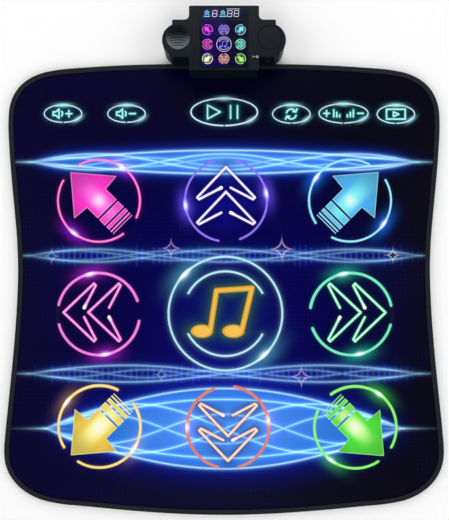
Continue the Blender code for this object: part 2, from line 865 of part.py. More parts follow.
def make_electronics(looks, console):
    front = -centre_front + console_wall + board_margin
    back = centre_back - console_wall - board_margin
    board = bmesh.new()
    add_box(board, (-board_half, front, board_height), (board_half, back, board_top))
    body = finish("main_board", board, looks["board"], console, smooth=False)
    lamps = bmesh.new()
    for x, y, _ in led_places():
        add_prism(lamps, circle(led_radius, 8, (x, y)), board_height + board_thickness / 2, board_top + led_height)
    boolean(body, cutter("add_leds", lamps, console), "UNION")

    top = console_top - inset_sink - inset_ledge - touch_gap
    margin = console_wall + light_guide_margin
    guide = bmesh.new()
    (icon_front, icon_back), (digit_front, digit_back) = window_spans()
    wide = window_half - margin
    holes = [circle(radius, 10, (x, y)) for x, y, radius in led_places()]
    outline = rectangle(-wide, icon_front + margin, wide, icon_back - margin)
    add_sheet(guide, [outline] + holes, board_top + touch_gap, top)
    finish("light_guide", guide, looks["guide"], console, smooth=False)

    digits = bmesh.new()
    add_box(digits, (-wide, digit_front + margin, board_top + touch_gap), (wide, digit_back - margin, top))
    finish("digit_display", digits, looks["display"], console, smooth=False)

    tail = bmesh.new()
    thin = tail_thickness / 2
    add_box(
        tail, (-tail_half, tail_y - thin, film_top + touch_gap), (tail_half, tail_y + thin, board_height - touch_gap))
    finish("ribbon_tail", tail, looks["film"], console, smooth=False)

    switch = bmesh.new()
    face = -side_front + console_wall + touch_gap
    add_box(
        switch,
        (switch_x + slider_travel / 2 - switch_body_width / 2, face, switch_height - switch_body_height / 2),
        (switch_x + slider_travel / 2 + switch_body_width / 2, face + switch_body_depth,
         switch_height + switch_body_height / 2))
    finish("power_switch_body", switch, looks["metal"], console, smooth=False)

    axis = empty("axis_power_switch", (switch_x, -side_front, switch_height), console)
    slider = bmesh.new()
    wide = slider_width / 2
    high = slider_thickness / 2
    add_box(slider, (-wide, -slider_reach, -high), (wide, console_wall, high))
    finish("power_switch_slider", slider, looks["slider"], axis, smooth=False)


def make_speaker(looks, console):
    """A small loudspeaker under the left ear: a basket with its magnet, and a paper cone."""
    top = console_top - dish_depth - dish_thickness - touch_gap
    flange = top - speaker_flange
    low = top - speaker_depth
    bowl = cone_radius + touch_gap
    waist = magnet_radius * 0.55
    basket = bmesh.new()
    turned(basket, [
        (0, low), (magnet_radius, low), (magnet_radius, low + speaker_depth * 0.4),
        (speaker_flange_radius - speaker_flange_width, flange), (speaker_flange_radius, flange), (speaker_flange_radius, top),
        (bowl, top), (waist, low + speaker_depth * 0.45), (0, low + speaker_depth * 0.45),
    ], 24)
    bmesh.ops.translate(basket, verts=basket.verts, vec=(-dish_x, dish_y, 0))
    finish("speaker_basket", basket, looks["metal"], console)
    cone = bmesh.new()
    seat = low + speaker_depth * 0.45 + touch_gap * 2
    turned(cone, [
        (0, seat), (waist - cone_clearance, seat), (bowl - cone_clearance, top - touch_gap),
        (bowl - cone_clearance - cone_thickness, top - touch_gap),
        (waist - cone_clearance, seat + cone_thickness), (0, seat + cone_thickness),
    ], 24)
    bmesh.ops.translate(cone, verts=cone.verts, vec=(-dish_x, dish_y, 0))
    finish("speaker_cone", cone, looks["paper"], console)


def make_batteries(looks, console):
    half, start, end = battery_bay()
    middle_z = base_low + door_thickness + touch_gap + cell_radius
    pitch = 2 * cell_radius + cell_gap
    for i in range(cell_count):
        x = (i - (cell_count - 1) / 2) * pitch
        cell = bmesh.new()
        turned(cell, [
            (0, 0), (cell_radius, 0), (cell_radius, cell_length), (cell_nib_radius, cell_length),
            (cell_nib_radius, cell_length + cell_nib), (0, cell_length + cell_nib),
        ], 16)
        turn = -pi / 2
        made = finish("battery_%d" % (i + 1), cell, looks["cell"], console)
        if i % 2:
            made.rotation_euler = (-turn, 0, 0)
            made.location = (x, cell_front + cell_length + cell_nib, middle_z)
        else:
            made.rotation_euler = (turn, 0, 0)
            made.location = (x, cell_front, middle_z)
    wide = half - touch_gap
    tall = (base_low + door_thickness + touch_gap, base_low + door_thickness + 2 * cell_radius)
    places = {
        "battery_contact_front": start,
        "battery_contact_back": end - contact_plate,
    }
    for name, y in places.items():
        plate = bmesh.new()
        add_box(plate, (-wide, y, tall[0]), (wide, y + contact_plate, tall[1]))
        finish(name, plate, looks["spring"], console, smooth=False)

    wide = half + door_margin
    front = start - door_margin
    axis = empty("axis_battery_door", (0, front, base_low), console)
    length = centre_back - front
    door = bmesh.new()
    add_box(door, (-wide, 0, 0), (wide, length, door_thickness))
    made = finish("battery_door", door, looks["case"], axis, smooth=False)
    tongues = bmesh.new()
    low = (door_thickness - door_tongue_thickness) / 2
    reach = wide + door_tongue - door_clearance
    add_box(
        tongues, (-reach, tongue_setback, low),
        (reach, length - tongue_setback, low + door_tongue_thickness))
    boolean(made, cutter("add_tongues", tongues, axis), "UNION")


def make_fasteners(looks, console):
    sides = 12
    number = 0
    for x, y in case_screw_places():
        number += 1
        bm = bmesh.new()
        seat = case_screw_seat() - touch_gap
        add_stack(bm, [
            (circle(screw_head_radius, sides, (x, y)), seat - screw_head),
            (circle(screw_head_radius, sides, (x, y)), seat),
            (circle(screw_radius, sides, (x, y)), seat),
            (circle(screw_radius, sides, (x, y)), seat + case_screw_length),
        ])
        finish("case_screw_%d" % number, bm, looks["metal"], console)

    head = screw_head_radius + screw_clearance
    bore = screw_radius + screw_clearance
    low = clamp_screw_low()
    bar = bmesh.new()
    add_box(
        bar, (-clamp_half, clamp_y - clamp_width / 2, touch_gap),
        (clamp_half, clamp_y + clamp_width / 2, clamp_top))
    made = finish("clamp_bar", bar, looks["metal"], console, smooth=False)
    holes = bmesh.new()
    for side in (-1, 1):
        place = (side * clamp_screw_x, clamp_y)
        add_stack(holes, [
            (circle(head, 14, place), -console_wall),
            (circle(head, 14, place), low + screw_head + touch_gap),
            (circle(bore, 14, place), low + screw_head + touch_gap),
            (circle(bore, 14, place), clamp_top + console_wall),
        ])
    boolean(made, cutter("cut_bar", holes, console), "DIFFERENCE")
    for number, side in ((1, -1), (2, 1)):
        place = (side * clamp_screw_x, clamp_y)
        bm = bmesh.new()
        add_stack(bm, [
            (circle(screw_head_radius, sides, place), low),
            (circle(screw_head_radius, sides, place), low + screw_head),
            (circle(screw_radius, sides, place), low + screw_head),
            (circle(screw_radius, sides, place), low + clamp_screw_length),
        ])
        finish("clamp_screw_%d" % number, bm, looks["metal"], console)

    for name, side in (("foot_left", -1), ("foot_right", 1)):
        bm = bmesh.new()
        middle = (side * (side_half - foot_length / 2 - console_wall), centre_back - foot_from_back - foot_width)
        low_ring = rectangle(
            middle[0] - foot_length / 2 + foot_edge, middle[1] - foot_width / 2 + foot_edge,
            middle[0] + foot_length / 2 - foot_edge, middle[1] + foot_width / 2 - foot_edge)
        ring = rectangle(
            middle[0] - foot_length / 2, middle[1] - foot_width / 2,
            middle[0] + foot_length / 2, middle[1] + foot_width / 2)
        add_stack(bm, [(low_ring, 0), (ring, foot_edge), (ring, foot_height)])
        finish(name, bm, looks["rubber"], console, smooth=False)


def make_looks():
    material("cutter", (1.0, 0.2, 0.2), 0.5)
    looks = {
        "backing": material("backing", (0.035, 0.035, 0.04), 0.9),
        "film": material("contact film", (0.55, 0.58, 0.60), 0.4),
        "foam": material("foam", (0.20, 0.20, 0.22), 0.95),
        "print": material("printed cover", (0.012, 0.010, 0.060), 0.45),
        "binding": material("edge binding", (0.020, 0.020, 0.024), 0.85),
        "contact": material("contact rubber", (0.05, 0.05, 0.055), 0.8),
        "key": material("touch key", (0.10, 0.45, 0.50), 0.45),
        "case": material("console case", (0.020, 0.024, 0.028), 0.45),
        "grille": material("speaker grille", (0.10, 0.115, 0.13), 0.40),
        "icon_panel": material("icon panel", (0.025, 0.020, 0.11), 0.25),
        "display_window": material("display window", (0.015, 0.02, 0.09), 0.15),
        "board": material("circuit board", (0.02, 0.16, 0.06), 0.5),
        "guide": material("light guide", (0.80, 0.80, 0.78), 0.6),
        "display": material("digit display", (0.05, 0.05, 0.06), 0.3),
        "metal": material("plated steel", (0.55, 0.56, 0.58), 0.3, 1.0),
        "spring": material("spring steel", (0.70, 0.70, 0.72), 0.25, 1.0),
        "slider": material("switch slider", (0.05, 0.05, 0.055), 0.5),
        "paper": material("speaker paper", (0.04, 0.04, 0.04), 0.9),
        "cell": material("battery jacket", (0.30, 0.32, 0.34), 0.35),
        "rubber": material("foot rubber", (0.03, 0.03, 0.03), 0.9),
    }
    pad_colours = {
        "up_left": (0.80, 0.06, 0.35),
        "up": (0.42, 0.34, 0.85),
        "up_right": (0.04, 0.30, 0.85),
        "left": (0.85, 0.18, 0.60),
        "centre": (0.10, 0.45, 0.55),
        "right": (0.16, 0.75, 0.62),
        "down_left": (0.85, 0.55, 0.10),
        "down": (0.85, 0.30, 0.14),
        "down_right": (0.25, 0.75, 0.10),
    }
    for name, colour in pad_colours.items():
        looks["pad_" + name] = material("step pad " + name.replace("_", " "), colour, 0.45)
    return looks


def build():
    for old in list(bpy.data.objects):
        bpy.data.objects.remove(old)
    looks = make_looks()
    make_mat(looks)
    make_pads(looks)
    make_keys(looks["key"])
    console = empty("console", (0, console_y, 0))
    make_console_base(looks, console)
    make_console_cover(looks, console)
    make_insets(looks, console)
    make_electronics(looks, console)
    make_speaker(looks, console)
    make_batteries(looks, console)
    make_fasteners(looks, console)


build()
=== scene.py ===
import json
from itertools import accumulate
from math import asin, atan2, cos, degrees, hypot, pi, radians, sin

import bmesh
import bpy
from mathutils import Matrix, Vector, noise
from mathutils.geometry import interpolate_bezier
from mathutils.kdtree import KDTree


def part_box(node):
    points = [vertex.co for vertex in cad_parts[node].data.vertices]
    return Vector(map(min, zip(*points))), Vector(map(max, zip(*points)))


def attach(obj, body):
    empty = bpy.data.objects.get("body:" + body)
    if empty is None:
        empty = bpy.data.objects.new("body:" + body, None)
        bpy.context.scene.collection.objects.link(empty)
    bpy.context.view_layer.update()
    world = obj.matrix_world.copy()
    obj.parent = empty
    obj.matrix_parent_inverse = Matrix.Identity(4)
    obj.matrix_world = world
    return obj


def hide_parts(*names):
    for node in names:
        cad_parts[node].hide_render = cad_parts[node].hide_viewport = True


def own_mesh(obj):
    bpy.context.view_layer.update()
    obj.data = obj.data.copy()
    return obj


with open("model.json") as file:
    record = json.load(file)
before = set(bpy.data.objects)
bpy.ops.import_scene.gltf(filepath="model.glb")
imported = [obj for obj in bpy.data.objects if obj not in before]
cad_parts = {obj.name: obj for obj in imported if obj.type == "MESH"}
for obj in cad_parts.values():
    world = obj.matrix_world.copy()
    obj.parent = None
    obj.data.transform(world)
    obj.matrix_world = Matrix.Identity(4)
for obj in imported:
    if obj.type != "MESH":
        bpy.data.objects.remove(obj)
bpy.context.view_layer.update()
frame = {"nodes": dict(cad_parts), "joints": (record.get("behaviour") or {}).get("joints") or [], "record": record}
nodes = frame["nodes"]
body_of = {node: body for body, members in frame["record"]["behaviour"]["bodies"].items() for node in members}

# Print, measured on the mat: radii of the rings, half widths of the printed lines, how far a string's core and
# its glow reach, and the vinyl's gloss and the lines' softness
ring_radius = 0.0836
centre_ring_radius = 0.1160
centre_inner_radius = 0.0862
tube_half = 0.0022
lower_tube_half = 0.0029
key_line_half = 0.0010
note_half = 0.0055
chevron_half = 0.0027
string_core = 0.0016
string_glow = 0.0060
print_gloss = 0.05
print_softness = 0.0004

# Mat
cover_cell = 0.0055
cover_under_binding = 0.0026
wave_height = 0.00022
wave_size = 0.085
pucker_height = 0.00030
pucker_pitch = 0.021
pucker_reach = 0.016
calm_reach = 0.014
tape_width = 0.011
tape_thickness = 0.0009
tape_bend = 0.0030
rib_pitch = 0.0011
weft_pitch = 0.0016
stitch_line = 0.0080
stitch_pitch = 0.0042
stitch_length = 0.0031
stitch_half = 0.00042
dot_pitch = 0.0130
dot_row_share = 0.866
dot_radius = 0.0021
dot_height = 0.00045
dot_margin = 0.006
key_margin = Vector((0.0046, 0.0048, 0))
key_skirt = 0.0020
key_slope = 0.0075
key_steps = 7
pad_steps = 22
pad_slope = 0.016
pad_wrinkle_reach = 0.020
pad_wrinkle = 0.00016
pad_wave = 0.00008
key_stem_radius = 0.0060
touch_gap = 0.0003
seam_gap = 0.0002

# Underside of the console
recess_length = 0.0032
recess_width = 0.0008
recess_depth = 0.0012
groove_size = (0.018, 0.0011, 0.0008)
groove_pitch = 0.0024
cell_nub = (0.0027, 0.0010)
cell_pitch = 0.0149
cell_band = 0.0130

# Camera, and the direction in degrees and power of each soft lamp
camera_place = (0.001, 0.012, 0.9288)
camera_lens = 31.2
lamp_distance = 2.7
lamp_height = 1.9
LAMPS = ((90, 39), (0, 31), (180, 31), (270, 31))

# Console, in metres: its depth, and where the switch's marks are printed
console_depth = 0.134
switch_mark = (0.0605, 0.4085)

# Icons and digits, in millimetres from the console's middle. The arrows are drawn at a share of their full
# size, and the digits lean by a slant.
panel_middle = 3.5
panel_half = (43.5, 56.5)
icon_ring = 9.7
icon_centre_ring = 14.2
icon_tube = 0.50
icon_arrow = 0.90
icon_pitch = (32.2, 28.3)
icon_row = -9.0
display_row = 50.9
digit_slant = 0.09
digit_strokes = (((4.3, 0.9), (4.3, 5.1)), ((0, 6), (3.4, 6)), ((0, 0), (3.4, 0)))
digit_places = (-18.0, 11.2, 24.4)
mark_places = ((-33.3, 5.3), (-2.2, 6.6))

# Each pad's figure: its kind, its direction in degrees, the colours of its core, its edges, its ring and its
# glints' light, the two gaps of its ring and the two glints on it
PADS = {
    "up_left": ("arrow", 135, (255, 84, 214), (250, 8, 186), (255, 140, 216), (150, 20, 215),
                (121, 150.5), (-54, -24), (-128, 56)),
    "up": ("chevrons", 90, (250, 244, 255), (70, 44, 235), (150, 122, 245), (105, 80, 250),
           (75, 107), (-100.6, -70), (-173, 10)),
    "up_right": ("arrow", 45, (112, 216, 250), (16, 132, 232), (168, 236, 246), (20, 112, 238),
                 (30, 62), (-147, -116), (146, -35)),
    "left": ("chevrons", 180, (248, 168, 238), (196, 20, 186), (242, 142, 222), (176, 36, 205),
             (167, 195), (-10, 19), (102, -81)),
    "right": ("chevrons", 0, (194, 247, 222), (14, 190, 128), (130, 236, 198), (34, 180, 150),
              (-15.6, 12), (171, 200.5), (101, -78)),
    "down_left": ("arrow", -135, (252, 234, 112), (228, 172, 44), (250, 226, 150), (150, 110, 70),
                  (-150, -121), (34, 64), (143, -32)),
    "down": ("chevrons", -90, (255, 228, 196), (236, 116, 56), (226, 132, 106), (130, 84, 235),
             (-104, -74), (81, 110), (180, 10)),
    "down_right": ("arrow", -45, (112, 244, 80), (34, 206, 48), (150, 244, 126), (56, 185, 50),
                   (-56.5, -29), (126, 156), (55, -127)),
}
# The hottest colour in the middle of each arrow, the pads whose ring is thicker, and how far off their ring's
# middle the side chevrons are printed
HEARTS = {
    "up_left": (255, 128, 240), "up_right": (126, 248, 242),
    "down_left": (255, 252, 190), "down_right": (226, 253, 172),
}
THICK_RINGS = ("left", "right", "down_left", "down", "down_right")
CHEVRON_SHIFT = {"left": (-0.040, 0.042), "right": (0.024, 0.038)}
CENTRE_RING, CENTRE_HALO, CENTRE_GLINTS = (186, 238, 252), (70, 150, 165), (136, -47)
PAD_NAMES = list(PADS) + ["centre"]
KEY_NAMES = ["volume_up", "volume_down", "start_pause", "mode", "level_up", "level_down", "demo"]


def ink(red, green, blue):
    """A colour as the screen shows it, from 0 to 255, as the shaders' linear light."""
    shares = (red / 255, green / 255, blue / 255)
    return tuple(share / 12.92 if share <= 0.04 else ((share + 0.055) / 1.055) ** 2.4 for share in shares)


def blend_of(first, second, share):
    """The colour that lies that share of the way from the first to the second."""
    return tuple(a + (b - a) * share for a, b in zip(first, second))


class Field:
    """A number, place or colour that varies over a surface: the output of a shader node."""

    def __init__(self, socket):
        self.socket = socket
        self.tree = socket.id_data

    def math(self, operation, *others, clamp=False):
        made = self.tree.nodes.new("ShaderNodeMath")
        made.operation = operation
        made.use_clamp = clamp
        for entry, value in zip(made.inputs, (self, *others)):
            join(value, entry)
        return Field(made.outputs[0])

    def vector(self, operation, *others, result="Vector"):
        made = self.tree.nodes.new("ShaderNodeVectorMath")
        made.operation = operation
        for entry, value in zip(made.inputs, (self, *others)):
            join(value, entry)
        return Field(made.outputs[result])

    def __add__(self, other):
        return self.math("ADD", other)

    def __sub__(self, other):
        return self.math("SUBTRACT", other)

    def __mul__(self, other):
        return self.math("MULTIPLY", other)

    def __truediv__(self, other):
        return self.math("DIVIDE", other)

    def size(self):
        return self.math("ABSOLUTE")

    def length(self):
        return self.vector("LENGTH", result="Value")

    def dot(self, direction):
        return self.vector("DOT_PRODUCT", direction, result="Value")

    def distance(self, place):
        return self.vector("DISTANCE", place, result="Value")


def join(value, entry):
    """Links a field to a node's entry, or writes a fixed value there."""
    if isinstance(value, Field):
        entry.id_data.links.new(value.socket, entry)
    else:
        entry.default_value = value


def least(*fields):
    """The smallest of the fields, point by point."""
    result = fields[0]
    for other in fields[1:]:
        result = result.math("MINIMUM", other)
    return result


def most(*fields):
    """The largest of the fields, point by point."""
    result = fields[0]
    for other in fields[1:]:
        result = result.math("MAXIMUM", other)
    return result


def step(value, low, high):
    """0 where value is at low, 1 where it is at high, and a soft change between; low may be the larger."""
    made = value.tree.nodes.new("ShaderNodeMapRange")
    made.interpolation_type = "SMOOTHSTEP"
    join(value, made.inputs["Value"])
    made.inputs["From Min"].default_value = low
    made.inputs["From Max"].default_value = high
    return Field(made.outputs["Result"])


def fading(distance, spread):
    """1 at no distance, and fading out with it."""
    return (distance * (-1 / spread)).math("EXPONENT")


def spot_of(distance, spread):
    """1 at no distance, and fading out with it in a soft round hill."""
    return (distance * distance * (-1 / spread ** 2)).math("EXPONENT")


def lit(ground, colour, amount):
    """The ground with coloured light added."""
    return amount.vector("MULTIPLY_ADD", colour, ground)


def mixed(first, second, amount):
    """The first colour with the second printed over it where amount is 1."""
    tree = next(v for v in (amount, first, second) if isinstance(v, Field)).tree
    made = tree.nodes.new("ShaderNodeMix")
    made.data_type = "RGBA"
    join(amount, made.inputs["Factor"])
    for entry, value in ((made.inputs["A"], first), (made.inputs["B"], second)):
        join(value if isinstance(value, Field) else (*value, 1), entry)
    return Field(made.outputs["Result"])


def printed(ground, colour, line, half, soft):
    """The ground with a line of that half width printed over it, soft at its edges."""
    return mixed(ground, ink(*colour), step(line, half + soft, half - soft))


def pair(x, y):
    """A place from its two coordinates."""
    made = x.tree.nodes.new("ShaderNodeCombineXYZ")
    join(x, made.inputs["X"])
    join(y, made.inputs["Y"])
    return Field(made.outputs[0])


def placed(place, middle, unit):
    """The place seen from middle, in units of that size."""
    scale = (1 / unit, 1 / unit, 0)
    return place.vector("MULTIPLY_ADD", scale, (-middle[0] / unit, -middle[1] / unit, 0))


def turned(place, degrees_round, mirror=True):
    """The place along and across a direction, with both sides alike if mirror is set."""
    turn = radians(degrees_round)
    along = place.dot((cos(turn), sin(turn), 0))
    across = place.dot((-sin(turn), cos(turn), 0))
    return pair(along, across.size() if mirror else across)


def to_oval(place, middle, half_width, half_height):
    """0 in the middle of an oval and 1 on its line."""
    shift = (-middle[0] / half_width, -middle[1] / half_height, 0)
    return place.vector("MULTIPLY_ADD", (1 / half_width, 1 / half_height, 0), shift).length()


def to_stroke(place, start, end):
    """Distance to a straight stroke."""
    span = Vector(end) - Vector(start)
    offset = place.vector("SUBTRACT", (*start, 0))
    share = offset.dot((*(span / span.length_squared), 0)).math("MULTIPLY", 1.0, clamp=True)
    return offset.distance(share.vector("MULTIPLY", (*span, 0)))


def to_line(place, corners):
    """Distance to a bent line through the corners."""
    return least(*(to_stroke(place, a, b) for a, b in zip(corners, corners[1:])))


def to_arc(place, first, last, radius=1.0):
    """Distance to the arc of a circle from one direction round to another, in degrees."""
    half = radians((last - first) % 360) / 2
    here = turned(place, first + ((last - first) % 360) / 2)
    inside = here.dot((sin(half), -cos(half), 0)).math("GREATER_THAN", 0.0)
    to_end = here.distance((radius * cos(half), radius * sin(half), 0))
    to_round = (here.length() - radius).size()
    return to_end + (to_round - to_end) * inside


def to_ellipse(place, half_width, half_height):
    """Distance to an ellipse's line, close enough near it."""
    once = place.vector("DIVIDE", (half_width, half_height, 1))
    twice = once.vector("DIVIDE", (half_width, half_height, 1))
    near = once.length()
    return (near * (near - 1.0) / twice.length()).size()


def new_look(name, roughness, specular=0.5, metallic=0.0):
    """A material with its fixed values on the shader, the shader and the place on the piece."""
    look = bpy.data.materials.new(name)
    look.use_nodes = True
    tree = look.node_tree
    tree.nodes.clear()
    coordinates = tree.nodes.new("ShaderNodeTexCoord")
    shader = tree.nodes.new("ShaderNodeBsdfPrincipled")
    output = tree.nodes.new("ShaderNodeOutputMaterial")
    tree.links.new(shader.outputs[0], output.inputs["Surface"])
    shader.inputs["Roughness"].default_value = roughness
    shader.inputs["Specular IOR Level"].default_value = specular
    shader.inputs["Metallic"].default_value = metallic
    return look, shader, Field(coordinates.outputs["Object"])


def grain(place, size, detail=2.0, roughness=0.5):
    """A fine random pattern, with its grains that far apart."""
    made = place.tree.nodes.new("ShaderNodeTexNoise")
    join(place, made.inputs["Vector"])
    made.inputs["Scale"].default_value = 1 / size
    made.inputs["Detail"].default_value = detail
    made.inputs["Roughness"].default_value = roughness
    return Field(made.outputs[0])


def ramp(value, low, high, low_value, high_value):
    """A straight change from low_value to high_value as the value goes from low to high."""
    made = value.tree.nodes.new("ShaderNodeMapRange")
    join(value, made.inputs["Value"])
    limits = {"From Min": low, "From Max": high, "To Min": low_value, "To Max": high_value}
    for entry, number in limits.items():
        made.inputs[entry].default_value = number
    return Field(made.outputs["Result"])


def uneven_gloss(shader, pattern, low, high):
    """Roughness that wanders between two values with a pattern."""
    join(ramp(pattern, 0.3, 0.7, low, high), shader.inputs["Roughness"])


def raised(shader, height, depth):
    """Gives the surface a fine relief of that depth in metres."""
    made = height.tree.nodes.new("ShaderNodeBump")
    made.inputs["Strength"].default_value = 1.0
    made.inputs["Distance"].default_value = depth
    join(height, made.inputs["Height"])
    height.tree.links.new(made.outputs[0], shader.inputs["Normal"])


# Shapes of the printed figures, in ring radii, and the note's in steps of its own scale
chevron_apex = 0.814
chevron_corners = ((0.742, 0.703), (0.786, 0.655), (0.505, 0.115))
chevron_step = 0.607
arrow_tip = 0.985
arrow_edge = 0.020
arrow_slope = 0.845
arrow_base = (0.049, 0.093)
arrow_body_half = 0.325
note_scale = 0.00204
note_stems = ((-15, -16), (-9, 23), (26.5, 25.5), (16.5, -16))
note_heads = ((-23.5, -17.5), (8, -17.5))
arrow_blocks = ((-0.29, 0.20), (-0.535, -0.335), (-0.68, -0.578), (-0.765, -0.722), (-0.828, -0.806))


def chevrons_line(here):
    """Distance to two open chevrons, one behind the other."""
    lines = []
    for back in (0.0, chevron_step):
        apex = chevron_apex - back
        corners = [(apex, 0)] + [(apex - behind, aside) for behind, aside in chevron_corners]
        lines.append(to_line(here, corners))
    return least(*lines)


def arrow_area(here, soft, inset=0.0):
    """1 inside a filled arrow, moved in by inset, whose tail breaks up into bars."""
    along = here.dot((1, 0, 0))
    across = here.dot((0, 1, 0))
    side = arrow_slope * arrow_tip - inset * hypot(1, arrow_slope)
    base = arrow_base[0] + inset
    head_side = step(here.dot((arrow_slope, 1, 0)), side + soft, side - soft)
    head_base = step(here.dot((1, -arrow_base[1], 0)), base - soft, base + soft)
    bars = []
    for low, high in arrow_blocks:
        half = (high - low) / 2 - inset
        if half > 0:
            bars.append(step((along - (low + high) / 2).size(), half + soft, half - soft))
    half = arrow_body_half - inset
    return most(head_side * head_base, most(*bars) * step(across, half + soft, half - soft))


def pad_middle(name):
    """The middle of a step pad."""
    low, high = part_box("pad_" + name)
    return (low + high) / 2


def key_middle(name):
    """The middle and half sizes of a key; the two level keys are halves of one ellipse."""
    if name.startswith("level"):
        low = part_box("key_level_up")[0]
        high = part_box("key_level_down")[1]
    else:
        low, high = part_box("key_" + name)
    return (low + high) / 2, (high - low) / 2


def ring_lines(here, name):
    """Distance to the printed ring or rings of a pad, in its own units."""
    if name == "centre":
        inner = centre_inner_radius / centre_ring_radius
        outer = (here.length() - 1.0).size()
        return least(outer, to_arc(here, 29.5, 151, inner), to_arc(here, -151, -29.5, inner))
    first, second = PADS[name][6:8]
    return least(to_arc(here, first[1], second[0]), to_arc(here, second[1], first[0]))


def ring_unit(name):
    """The radius of a pad's printed ring, in which its figure is drawn."""
    return centre_ring_radius if name == "centre" else ring_radius


def glints_of(here, name):
    """Distance to each of the two spots where a pad's ring shines brightest, which lie along the ring."""
    angles = CENTRE_GLINTS if name == "centre" else PADS[name][8]
    return [to_oval(turned(here, angle), (1, 0), 0.5, 1) for angle in angles]


def with_glow(ground, here, name, line):
    """The light that a pad's ring and its two glints throw on the print around them."""
    colour, halo = (CENTRE_RING, CENTRE_HALO) if name == "centre" else (PADS[name][3], PADS[name][5])
    ground = lit(ground, ink(*colour), fading(line, 0.022) * 0.34)
    for spot in glints_of(here, name):
        ground = lit(ground, ink(*halo), spot_of(spot, 0.34) * 0.60)
    return ground


def with_sparks(ground, here, name):
    """The white spots where the ring shines brightest."""
    for spot in glints_of(here, name):
        ground = lit(ground, (1, 1, 1), spot_of(spot, 0.105) * 0.80)
    return ground


# Soft lights in the ground: the height and half sizes of each oval, its colour, where it starts and is full,
# and its strength
GROUND_LIGHTS = (
    (-0.160, (0.20, 0.260), (10, 10, 130), (1.0, 0.0), 0.45),
    (-0.332, (0.36, 0.120), (10, 34, 215), (1.2, 0.15), 0.35),
    (0.212, (0.40, 0.045), (12, 40, 215), (1.2, 0.15), 0.22),
    (0.130, (0.12, 0.085), (20, 22, 190), (1.0, 0.1), 0.35),
)
# How far from the mat's middle towards the console each row of level bars lies
LEVEL_ROWS = (0.0210, -0.2200)
# Small four-pointed sparkles: their place, reach and colour
SPARKLES = (
    (-0.108, 0.036, 0.019, (225, 175, 250)),
    (0.158, -0.226, 0.022, (225, 175, 250)),
    (-0.352, 0.020, 0.016, (150, 190, 255)),
    (0.345, 0.022, 0.016, (245, 235, 130)),
    (0.118, 0.034, 0.024, (235, 190, 250)),
    (-0.128, -0.222, 0.015, (150, 190, 255)),
)


def backdrop_group():
    """The ground that runs under every figure: deep blue with strings of light, faint bars and sparkles."""
    group = bpy.data.node_groups.new("mat_print_ground", "ShaderNodeTree")
    group.interface.new_socket("Place", in_out="INPUT", socket_type="NodeSocketVector")
    group.interface.new_socket("Print", in_out="OUTPUT", socket_type="NodeSocketColor")
    place = Field(group.nodes.new("NodeGroupInput").outputs[0])
    x = place.dot((1, 0, 0))
    y = place.dot((0, 1, 0))
    edge = mixed(ink(4, 0, 42), ink(3, 2, 18), step(x, -0.35, 0.35))
    colour = mixed(ink(4, 0, 72), edge, step(to_oval(place, (0, -0.09), 0.45, 0.43), 0.45, 1.0))
    for height, halves, tint, reach, strength in GROUND_LIGHTS:
        colour = lit(colour, ink(*tint), step(to_oval(place, (0, height), *halves), *reach) * strength)
    colour = with_dots(colour, place)
    for height in LEVEL_ROWS:
        colour = with_levels(colour, x, y, height)
    for bundle in BUNDLES:
        colour = with_bundle(colour, x, y, *bundle)
    for sx, sy, reach, tint in SPARKLES:
        here = placed(place, (sx, sy), reach)
        arms = here.dot((1, 0, 0)).size().math("POWER", 0.5) + here.dot((0, 1, 0)).size().math("POWER", 0.5)
        colour = lit(colour, ink(*tint), fading((arms - 1.0).size(), 0.05) * 0.8)
    join(colour, group.nodes.new("NodeGroupOutput").inputs[0])
    return group


def ground_of(place, group):
    """The ground's colour at a place."""
    made = place.tree.nodes.new("ShaderNodeGroup")
    made.node_tree = group
    join(place, made.inputs[0])
    return Field(made.outputs[0])


def finish_print(shader, place, colour):
    """Satin printed vinyl: the colour, a fine leather-like grain and slightly uneven gloss."""
    join(colour.vector("MINIMUM", (1, 1, 1)), shader.inputs["Base Color"])
    uneven_gloss(shader, grain(place, 0.012, 3.0), 0.43, 0.48)
    raised(shader, grain(place, 0.0011, 3.0, 0.6), 0.00006)


def cover_look(group):
    """The cover's print: the ground, the light that each pad throws on it, and the keys' ellipses."""
    look, shader, place = new_look("printed_cover_vinyl", 0.42, print_gloss)
    colour = ground_of(place, group)
    for name in PAD_NAMES:
        here = placed(place, pad_middle(name), ring_unit(name))
        colour = with_glow(colour, here, name, ring_lines(here, name))
    for name in KEY_NAMES:
        if name != "level_down":
            colour = with_key_line(colour, place, name)
    finish_print(shader, place, colour)
    return look


def with_key_line(ground, place, name):
    """A key's printed ellipse with its cyan light and its two glints."""
    middle, half = key_middle(name)
    half = half - key_margin
    here = placed(place, middle, 1.0)
    line = to_ellipse(here, half.x, half.y)
    ground = lit(ground, ink(40, 170, 190), fading(line, 0.0026) * 0.26)
    for gx, gy, wide, strength in ((0.0, 1.0, 0.014, 1.0), (0.80, -0.60, 0.010, 0.8)):
        glint = placed(place, (middle.x + gx * half.x, middle.y + gy * half.y), 1.0)
        along_line = turned(glint, degrees(atan2(gx * half.y, -gy * half.x)), mirror=False)
        near = spot_of(to_oval(along_line, (0, 0), wide, 0.0040), 1.0)
        ground = lit(ground, ink(150, 228, 236), near * strength)
    gap = here.distance((0, -half.y, 0))
    core_half = key_line_half * (1.4 if name == "start_pause" else 1.0)
    core = step(line, core_half + 0.0003, core_half - 0.0003) * step(gap, 0.0012, 0.0018)
    return mixed(ground, ink(226, 234, 250), core)


